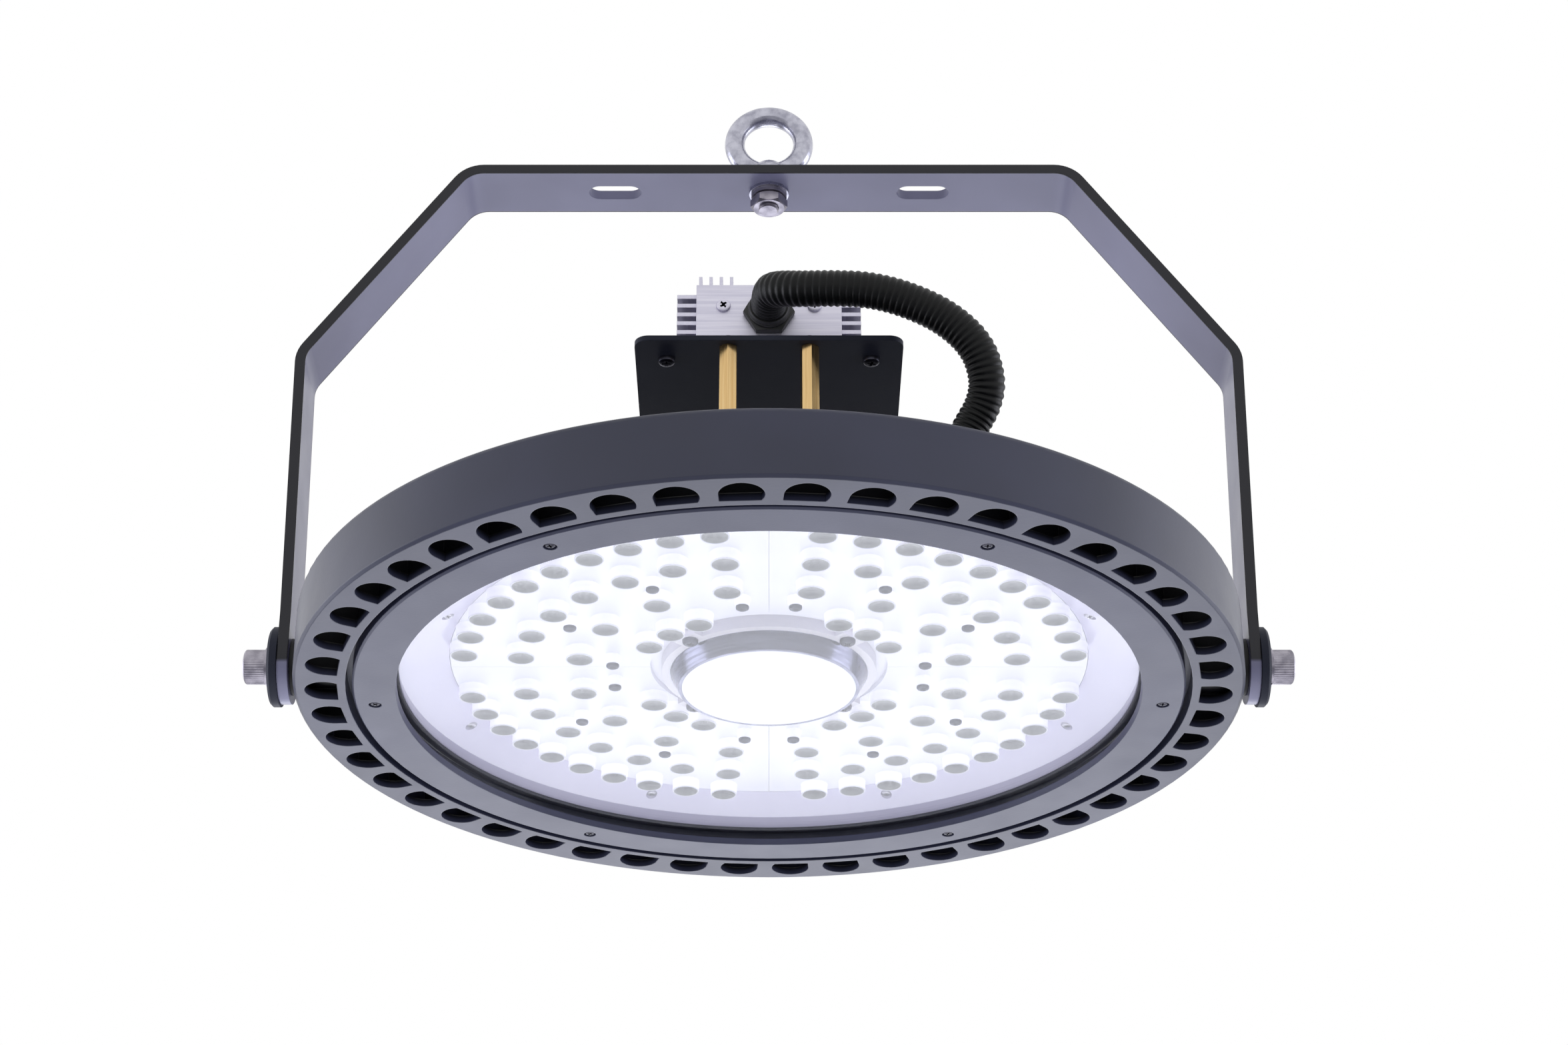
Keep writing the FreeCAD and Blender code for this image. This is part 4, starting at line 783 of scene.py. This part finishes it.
class HIGHBAY_OT_lenses(bpy.types.Operator):
    """Mould the four lens plates, one web and its lenses for each quadrant"""

    bl_idname = "highbay.lenses"
    bl_label = "Lens Plates"

    def web(self, mesh):
        """A quarter ring that all but meets its neighbours over the gap between the boards."""
        low, high = BOARD_FACE, BOARD_FACE + WEB_THICK
        section = ((BOARD_INNER, low), (BOARD_OUTER, low), (BOARD_OUTER, high),
                   (BOARD_INNER, high), (BOARD_INNER, low))
        verts = turn(mesh, section, 72, math.radians(100))
        move(mesh, verts, Matrix.Rotation(math.radians(-5), 4, "Z"))
        for normal in ((-1, 0, 0), (0, -1, 0)):
            slice_off(mesh, mesh.verts, Vector(normal) * -WEB_GAP, normal)

    def lens(self, mesh, settings, centre):
        """One lens, hanging from the web with its dished tip down."""
        tall = BOARD_FACE - LENS_TIP
        base, crown, dish = settings.base, settings.crown, settings.dish
        verts = turn(mesh, (
            (base, 0),
            (base - 0.15 * MM, 0.12 * tall),
            (base - 0.25 * MM, 0.4 * tall),
            (0.45 * base + 0.55 * crown, 0.72 * tall),
            (crown + 0.1 * MM, 0.92 * tall),
            (crown, tall),
            (0.85 * crown, tall - 0.1 * dish),
            (0.5 * crown, tall - 0.7 * dish),
            (0, tall - dish),
        ), 24)
        return move(mesh, verts, facing((0, 0, -1), (*centre, BOARD_FACE)))

    def pillar(self, mesh, layer, foot, wall):
        """The short pillar that carries a screw's head, mapped onto a lens's wall so that it glows
        with the same painted light.
        """
        tall = BOARD_FACE - LENS_TIP - SCREW_SINK
        verts = turn(mesh, ((2.9 * MM, 0), (2.6 * MM, tall), (0, tall)), 20)
        move(mesh, verts, facing((0, 0, -1), foot))
        for face in {face for vert in verts for face in vert.link_faces}:
            for loop in face.loops:
                loop[layer].uv = (0.5 + wall / LENS_MAP, 0.5)

    def map_lens(self, layer, verts, centre):
        """Lays the lens's own map: the middle of the lens is the middle of the map."""
        for face in {face for vert in verts for face in vert.link_faces}:
            for loop in face.loops:
                away = loop.vert.co.xy - Vector(centre)
                loop[layer].uv = (0.5 + away.x / LENS_MAP, 0.5 + away.y / LENS_MAP)

    def execute(self, context):
        settings = context.scene.high_bay_lens
        for quadrant in QUADRANTS:
            mesh = bmesh.new()
            self.web(mesh)
            layer = mesh.loops.layers.uv.new("lens")
            for radius, first, count, step in LENS_RINGS:
                for index in range(count):
                    centre = polar(radius * MM, first + index * step, 0)[:2]
                    self.map_lens(layer, self.lens(mesh, settings, centre), centre)
            for radius, angle in LENS_SCREWS:
                foot = polar(radius * MM, angle, BOARD_FACE)
                self.pillar(mesh, layer, foot, settings.base)
            quarter = Matrix.Rotation(math.pi / 2 * (quadrant - 1), 4, "Z")
            move(mesh, mesh.verts, quarter)
            piece(f"lens_moulding_{quadrant}", mesh, LAMP, "lens",
                  (f"lens_plate_{quadrant}",))
        return {"FINISHED"}


SCREW_GROUPS = {
    # name: head radius, head height, shank radius, shank length, seat height, circle places
    "lens_screws": (2.4, 1.2, 1.2, 8.0, LENS_TIP + SCREW_SINK, quarter_turns(LENS_SCREWS)),
    "reflector_screws": (2.0, 1.2, 1.2, 6.0, CONE_SEAT,
                         quarter_turns(((124.5, 22.5), (124.5, 67.5)))),
    "hub_screws": (2.9, 1.8, 1.5, 7.2, HUB_SEAT, quarter_turns(((40.5, 45),))),
    "bezel_screws": (2.2, 1.4, 1.5, 10.8, BEZEL_SEAT, [(145.9, 60 * i) for i in range(6)]),
}


class HIGHBAY_OT_screws(bpy.types.Operator):
    """Turn every small screw, with its cross recess"""

    bl_idname = "highbay.screws"
    bl_label = "Screws"

    def ring_group(self, name):
        """Screws on circles round the lamp's axis, with their heads down."""
        head, height, shank, length, seat, places = SCREW_GROUPS[name]
        mesh = bmesh.new()
        for radius, angle in places:
            verts = screw(mesh, head * MM, height * MM, shank * MM, length * MM)
            spin = Matrix.Rotation(math.radians(angle * 2.7), 4, "Z")
            place = facing((0, 0, -1), polar(radius * MM, angle, seat))
            move(mesh, verts, place @ spin)
        key = "steel" if name == "reflector_screws" else "oxide"
        piece(f"{name}_turned", mesh, LAMP, key, (name,))

    def row_group(self, name, places, sizes, key):
        """Screws at places in mm, each with the direction that its head faces."""
        mesh = bmesh.new()
        for index, (place, direction) in enumerate(places):
            verts = screw(mesh, *(value * MM for value in sizes))
            spin = Matrix.Rotation(math.radians(37 * index), 4, "Z")
            move(mesh, verts, facing(direction, [value * MM for value in place]) @ spin)
        piece(f"{name}_turned", mesh, LAMP, key, (name,))

    def execute(self, context):
        for name in SCREW_GROUPS:
            self.ring_group(name)
        low, high = SHELF_LOW / MM, SHELF_HIGH / MM
        shelf = [((x, y, high), (0, 0, 1)) for x, y in four_corners(STANDOFFS)]
        self.row_group("shelf_screws", shelf, (2.8, 2.0, 1.5, 8.0), "oxide")
        foot = [((x, y, low), (0, 0, -1)) for x, y in four_corners(FOOT_SCREWS)]
        self.row_group("foot_screws", foot, (3.0, 1.8, 2.0, 4.5), "oxide")
        caps = [((x, y, high + z), (0, y, 0)) for x, y in four_corners(CAP_SCREWS)
                for z in CAP_SCREW_HEIGHTS]
        self.row_group("driver_cap_screws", caps, (2.6, 1.2, 1.4, 3.0), "cap")
        return {"FINISHED"}


class HIGHBAY_OT_pivots(bpy.types.Operator):
    """Turn the pivot bolts with their knurled heads, and bend their spring washers"""

    bl_idname = "highbay.pivots"
    bl_label = "Pivots"

    def bolt(self, mesh, low, seat, high):
        """A cap screw from its tip at low to the top of its head at high."""
        steps = 96
        shank, head = 4 * MM, 6.5 * MM
        verts = turn(mesh, (
            (0, low),
            (0.8 * shank, low),
            (shank, low + 0.2 * shank),
            (shank, seat),
            (head, seat),
            (head, seat + 0.6 * MM),
            (head, high - 0.9 * MM),
            (head - 0.3 * MM, high - 0.4 * MM),
            (head - 0.9 * MM, high),
        ), steps)
        step = FULL_TURN / steps
        for vert in verts:
            away = math.hypot(vert.co.x, vert.co.y)
            ridge = round(math.atan2(vert.co.y, vert.co.x) / step) % 2
            if ridge and away > head - 0.1 * MM and vert.co.z > seat + 0.3 * MM:
                vert.co.xy *= 0.965
        return close_with_recess(mesh, verts, high, hex_outline(6 * MM), 4 * MM, 1.0)

    def execute(self, context):
        for side, sign in SIDES:
            low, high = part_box(f"pivot_bolt_{side}")
            reach = sorted((abs(low.x), abs(high.x)))
            washer = sorted(abs(corner.x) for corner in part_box(f"pivot_spring_washer_{side}"))
            aim = facing((sign, 0, 0), (0, 0, PIVOT_HEIGHT))
            mesh = bmesh.new()
            move(mesh, self.bolt(mesh, reach[0], washer[1], reach[1]), aim)
            piece(f"pivot_cap_screw_{side}", mesh, LAMP, "bolt",
                  (f"pivot_bolt_{side}",))
            mesh = bmesh.new()
            move(mesh, split_washer(mesh, *washer), aim)
            piece(f"pivot_split_washer_{side}", mesh, LAMP, "bolt",
                  (f"pivot_spring_washer_{side}",))
        return {"FINISHED"}


class HIGHBAY_OT_eye_bolt(bpy.types.Operator):
    """Forge the eye, thread its shank and cut the nut"""

    bl_idname = "highbay.eye_bolt"
    bl_label = "Eye Bolt"

    def forged_eye(self, mesh):
        """Ring, neck and collar as overlapping blanks, to be melted into one."""
        middle, thick = 14 * MM, 4.1 * MM
        ring = []
        for index in range(17):
            away, up, _ = polar(thick, 22.5 * index, 0)
            ring.append((middle + away, up))
        verts = turn(mesh, ring, 64)
        move(mesh, verts, facing((0, 1, 0), (0, 0, EYE_CENTRE)))
        turn(mesh, (
            (0, CROWN), (9.4 * MM, CROWN), (10 * MM, CROWN + 0.6 * MM),
            (10 * MM, CROWN + 3.2 * MM), (9 * MM, CROWN + 4.8 * MM),
            (6.6 * MM, CROWN + 6.4 * MM), (4.8 * MM, CROWN + 9 * MM), (0, CROWN + 9.2 * MM),
        ), 48)

    def execute(self, context):
        mesh = bmesh.new()
        self.forged_eye(mesh)
        eye = piece("forged_eye", mesh, YOKE, "zinc", ("eye_bolt",))
        melt = eye.modifiers.new("melt", "REMESH")
        melt.mode = "VOXEL"
        melt.voxel_size = 0.4 * MM
        melt.use_smooth_shade = True
        soften = eye.modifiers.new("soften", "SMOOTH")
        soften.factor = 0.5
        soften.iterations = 3
        bake(eye)

        shank_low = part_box("eye_bolt")[0].z
        mesh = bmesh.new()
        thread(mesh, 4 * MM, 1.25 * MM, shank_low, CROWN + 1 * MM)
        piece("eye_thread", mesh, YOKE, "bolt")

        low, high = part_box("eye_nut")
        mesh = bmesh.new()
        hexagon(mesh, 13 * MM, low.z, high.z, 4.05 * MM, 0.9 * MM, 48)
        piece("eye_hex_nut", mesh, YOKE, "bolt", ("eye_nut",))

        low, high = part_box("eye_spring_washer")
        mesh = bmesh.new()
        split_washer(mesh, low.z, high.z)
        piece("eye_split_washer", mesh, YOKE, "bolt", ("eye_spring_washer",))
        return {"FINISHED"}


class HIGHBAY_OT_standoffs(bpy.types.Operator):
    """Cut the four brass standoffs"""

    bl_idname = "highbay.standoffs"
    bl_label = "Standoffs"

    def execute(self, context):
        low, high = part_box("standoffs")
        inside = POST_TOP + 1 * MM
        mesh = bmesh.new()
        for x, y in four_corners(STANDOFFS):
            bar = hexagon(mesh, 6 * MM, POST_TOP, high.z, 0, 0.35 * MM, 36)
            stud = turn(mesh, ((0, low.z), (1.5 * MM, low.z), (1.5 * MM, inside),
                               (0, inside)), 20)
            turned = Matrix.Rotation(math.radians(11 * x + y), 4, "Z")
            place = Matrix.Translation((x * MM, y * MM, 0))
            move(mesh, bar, place @ turned)
            move(mesh, stud, place)
        piece("brass_standoffs", mesh, LAMP, "brass", ("standoffs",))
        return {"FINISHED"}


class HIGHBAY_OT_glands(bpy.types.Operator):
    """Turn the three cable glands"""

    bl_idname = "highbay.glands"
    bl_label = "Glands"

    def gland(self, mesh, nut, collar, bore=0.0):
        """Hexagon, ribbed collar and thread, standing up from its seat."""
        verts = hexagon(mesh, 16 * MM, 0, nut * MM, bore * MM, 0.7 * MM, 48)
        top = (nut + collar) * MM
        ribbed = [(bore * MM, nut * MM), (7.2 * MM, nut * MM)]
        ribs = max(1, int(collar / 2))
        for index in range(ribs):
            start = nut + collar * (index + 0.25) / (ribs + 0.5)
            ribbed += [(7.6 * MM, start * MM), (7.6 * MM, (start + 0.7) * MM),
                       (7.3 * MM, (start + 0.9) * MM)]
        ribbed += [(7.2 * MM, top - 0.5 * MM), (6.9 * MM, top), (bore * MM, top)]
        if bore:
            ribbed.append(ribbed[0])
        verts += turn(mesh, ribbed, 40)
        verts += turn(mesh, ((0, -5 * MM), (5.1 * MM, -5 * MM), (5.5 * MM, -4.6 * MM),
                             (5.5 * MM, 0), (0, 0)), 32)
        return verts

    def execute(self, context):
        jobs = (
            ("driver_outlet_gland", (3, 3), (0, -1, 0), (0, -DRIVER_END, DRIVER_GLANDS)),
            ("driver_inlet_gland", (5, 11, 3.6), (0, 1, 0), (0, DRIVER_END, DRIVER_GLANDS)),
            ("lamp_gland", (5, 6), (0, 0, 1), LAMP_GLAND),
        )
        for name, sizes, direction, place in jobs:
            mesh = bmesh.new()
            move(mesh, self.gland(mesh, *sizes), facing(direction, place))
            piece(f"{name}_turned", mesh, LAMP, "nylon", (name,))
        return {"FINISHED"}


class HIGHBAY_OT_conduit(bpy.types.Operator):
    """Run the corrugated conduit along its route"""

    bl_idname = "highbay.conduit"
    bl_label = "Conduit"

    def centreline(self):
        """Points along the route's NURBS line, in metres."""
        curve = bpy.data.curves.new("conduit_line", "CURVE")
        curve.dimensions = "3D"
        curve.resolution_u = 24
        spline = curve.splines.new("NURBS")
        spline.points.add(len(CONDUIT_ROUTE) - 1)
        for point, place in zip(spline.points, CONDUIT_ROUTE):
            point.co = (*(value * MM for value in place), 1)
        spline.order_u = 3
        spline.use_endpoint_u = True
        holder = bpy.data.objects.new("conduit_line", curve)
        line = bpy.data.meshes.new_from_object(holder)
        points = [vert.co.copy() for vert in line.vertices]
        bpy.data.objects.remove(holder)
        bpy.data.curves.remove(curve)
        bpy.data.meshes.remove(line)
        return points

    def stations(self, points, spacing):
        """Evenly spaced places along the line, with the direction at each."""
        lengths = [0.0]
        for start, end in zip(points, points[1:]):
            lengths.append(lengths[-1] + (end - start).length)
        total = lengths[-1]
        count = max(2, round(total / spacing))
        places = []
        segment = 0
        for index in range(count + 1):
            reach = total * index / count
            while segment < len(points) - 2 and lengths[segment + 1] < reach:
                segment += 1
            start, end = points[segment], points[segment + 1]
            share = (reach - lengths[segment]) / (end - start).length
            places.append((start.lerp(end, share), (end - start).normalized()))
        return places, total

    def execute(self, context):
        settings = context.scene.high_bay_conduit
        points = self.centreline()
        depths = (0, 0, 0.35, 1, 1, 0.35)  # shares of the groove over one rib
        places, total = self.stations(points, settings.pitch / len(depths))
        crest = settings.outside / 2
        mesh = bmesh.new()
        sides = 28
        loops = []
        normal = UP
        for index, (place, along) in enumerate(places):
            normal = (normal - along * normal.dot(along)).normalized()
            across = along.cross(normal)
            radius = crest - settings.groove * depths[index % len(depths)]
            made = bmesh.ops.create_circle(mesh, segments=sides, radius=radius)["verts"]
            stand = Matrix((normal, across, along)).transposed().to_4x4()
            move(mesh, made, Matrix.Translation(place) @ stand)
            loops.append([edge for vert in made for edge in vert.link_edges])
        for first, second in zip(loops, loops[1:]):
            bmesh.ops.bridge_loops(mesh, edges=list({*first, *second}))
        ends = [edge for edge in mesh.edges if len(edge.link_faces) == 1]
        bmesh.ops.holes_fill(mesh, edges=ends, sides=0)
        tube = piece("corrugated_conduit", mesh, LAMP, "conduit", ("conduit",))
        return {"FINISHED"}


class HIGHBAY_OT_stage(bpy.types.Operator):
    """Set up the camera, the floor, the room and the lamps"""

    bl_idname = "highbay.stage"
    bl_label = "Stage"

    def camera(self, settings):
        data = bpy.data.cameras.new("camera")
        data.lens = settings.lens
        data.sensor_width = 36
        data.shift_x = 0.0096
        data.clip_start = 0.01
        holder = bpy.data.objects.new("camera", data)
        holder.location = (0, -settings.distance, -settings.drop)
        holder.rotation_euler = (math.pi / 2 + settings.tilt, 0, 0)
        bpy.context.scene.collection.objects.link(holder)
        bpy.context.scene.camera = holder

    def room(self, settings):
        """Even light for the object, and plain white wherever the background itself shows."""
        world = bpy.data.worlds.new("room")
        bench = NodeBench(world, "ShaderNodeOutputWorld")
        camera, glossy, through = (
            bench.add("ShaderNodeLightPath", output=f"Is {kind} Ray")
            for kind in ("Camera", "Glossy", "Transmission"))
        seen = camera.math("MAXIMUM", glossy).math("MAXIMUM", through)
        even = bench.add("ShaderNodeBackground", None, {
            "Color": (0.96, 0.96, 1.0), "Strength": settings.room})
        shown = bench.add("ShaderNodeBackground", None, {
            "Color": (1.0, 1.0, 1.0), "Strength": 1.0})
        bench.close(bench.add("ShaderNodeMixShader", None, {0: seen, 1: even, 2: shown}))
        bpy.context.scene.world = world

    def lamp(self, name, place, target, size, power, colour=(1, 1, 1)):
        data = bpy.data.lights.new(name, "AREA")
        data.size = size
        data.energy = power
        data.color = colour
        holder = bpy.data.objects.new(name, data)
        holder.location = place
        aim = Vector(target) - Vector(place)
        holder.rotation_euler = aim.to_track_quat("-Z", "Y").to_euler()
        bpy.context.scene.collection.objects.link(holder)

    def floor(self):
        mesh = bmesh.new()
        bmesh.ops.create_grid(mesh, x_segments=8, y_segments=8, size=4)
        bmesh.ops.translate(mesh, verts=mesh.verts, vec=(0, 0, -1.2))
        data = bpy.data.meshes.new("floor")
        mesh.to_mesh(data)
        mesh.free()
        floor = bpy.data.objects.new("floor", data)
        bpy.context.scene.collection.objects.link(floor)
        finish = Finish("studio floor")
        tone = finish.noise(2.0, 3.0)
        base = finish.mix(tone, (0.82, 0.82, 0.84), (0.85, 0.85, 0.87))
        data.materials.append(finish.surface(Base_Color=base, Roughness=0.8))

    def execute(self, context):
        settings = context.scene.high_bay_stage
        self.camera(settings)
        self.room(settings)
        self.floor()
        for side, sign in SIDES:
            self.lamp(f"lamp_{side}", (sign * 1.5, 0.35, 0.0), (0, 0, 0.05), 1.2,
                      settings.side_power, (0.86, 0.88, 1.0))
        self.lamp("lamp_low", (0, 0.2, -1.0), (0, 0, 0), 1.4, settings.low_power)
        self.lamp("lamp_back", (0, 1.9, -0.85), (0, 0, 0.05), 1.7, settings.back_power,
                  (0.9, 0.92, 1.0))
        context.scene.view_settings.view_transform = "Standard"
        return {"FINISHED"}


PIECE_OPERATORS = (
    HIGHBAY_OT_finishes,
    HIGHBAY_OT_conduit,
    HIGHBAY_OT_lenses,
    HIGHBAY_OT_screws,
    HIGHBAY_OT_pivots,
    HIGHBAY_OT_eye_bolt,
    HIGHBAY_OT_standoffs,
    HIGHBAY_OT_glands,
    HIGHBAY_OT_stage,
)
SETTINGS = {
    "high_bay_finish": HighBayFinishSettings,
    "high_bay_lens": HighBayLensSettings,
    "high_bay_conduit": HighBayConduitSettings,
    "high_bay_stage": HighBayStageSettings,
}


class HIGHBAY_PT_panel(bpy.types.Panel):
    """Lists the light's pieces and settings"""

    bl_idname = "HIGHBAY_PT_panel"
    bl_label = "High Bay Light"
    bl_space_type = "VIEW_3D"
    bl_region_type = "UI"
    bl_category = "High Bay"

    def draw(self, context):
        layout = self.layout
        for operator in PIECE_OPERATORS:
            layout.operator(operator.bl_idname)
        for name in SETTINGS:
            box = layout.box()
            group = getattr(context.scene, name)
            for setting in group.bl_rna.properties.keys():
                if setting not in ("rna_type", "name"):
                    box.prop(group, setting)


def register():
    for name, group in SETTINGS.items():
        bpy.utils.register_class(group)
        setattr(bpy.types.Scene, name, bpy.props.PointerProperty(type=group))
    for operator in PIECE_OPERATORS:
        bpy.utils.register_class(operator)
    bpy.utils.register_class(HIGHBAY_PT_panel)


def unregister():
    bpy.utils.unregister_class(HIGHBAY_PT_panel)
    for operator in reversed(PIECE_OPERATORS):
        bpy.utils.unregister_class(operator)
    for name, group in reversed(SETTINGS.items()):
        delattr(bpy.types.Scene, name)
        bpy.utils.unregister_class(group)


def main():
    register()
    for operator in PIECE_OPERATORS:
        group, action = operator.bl_idname.split(".")
        getattr(getattr(bpy.ops, group), action)()


if __name__ == "__main__":
    main()
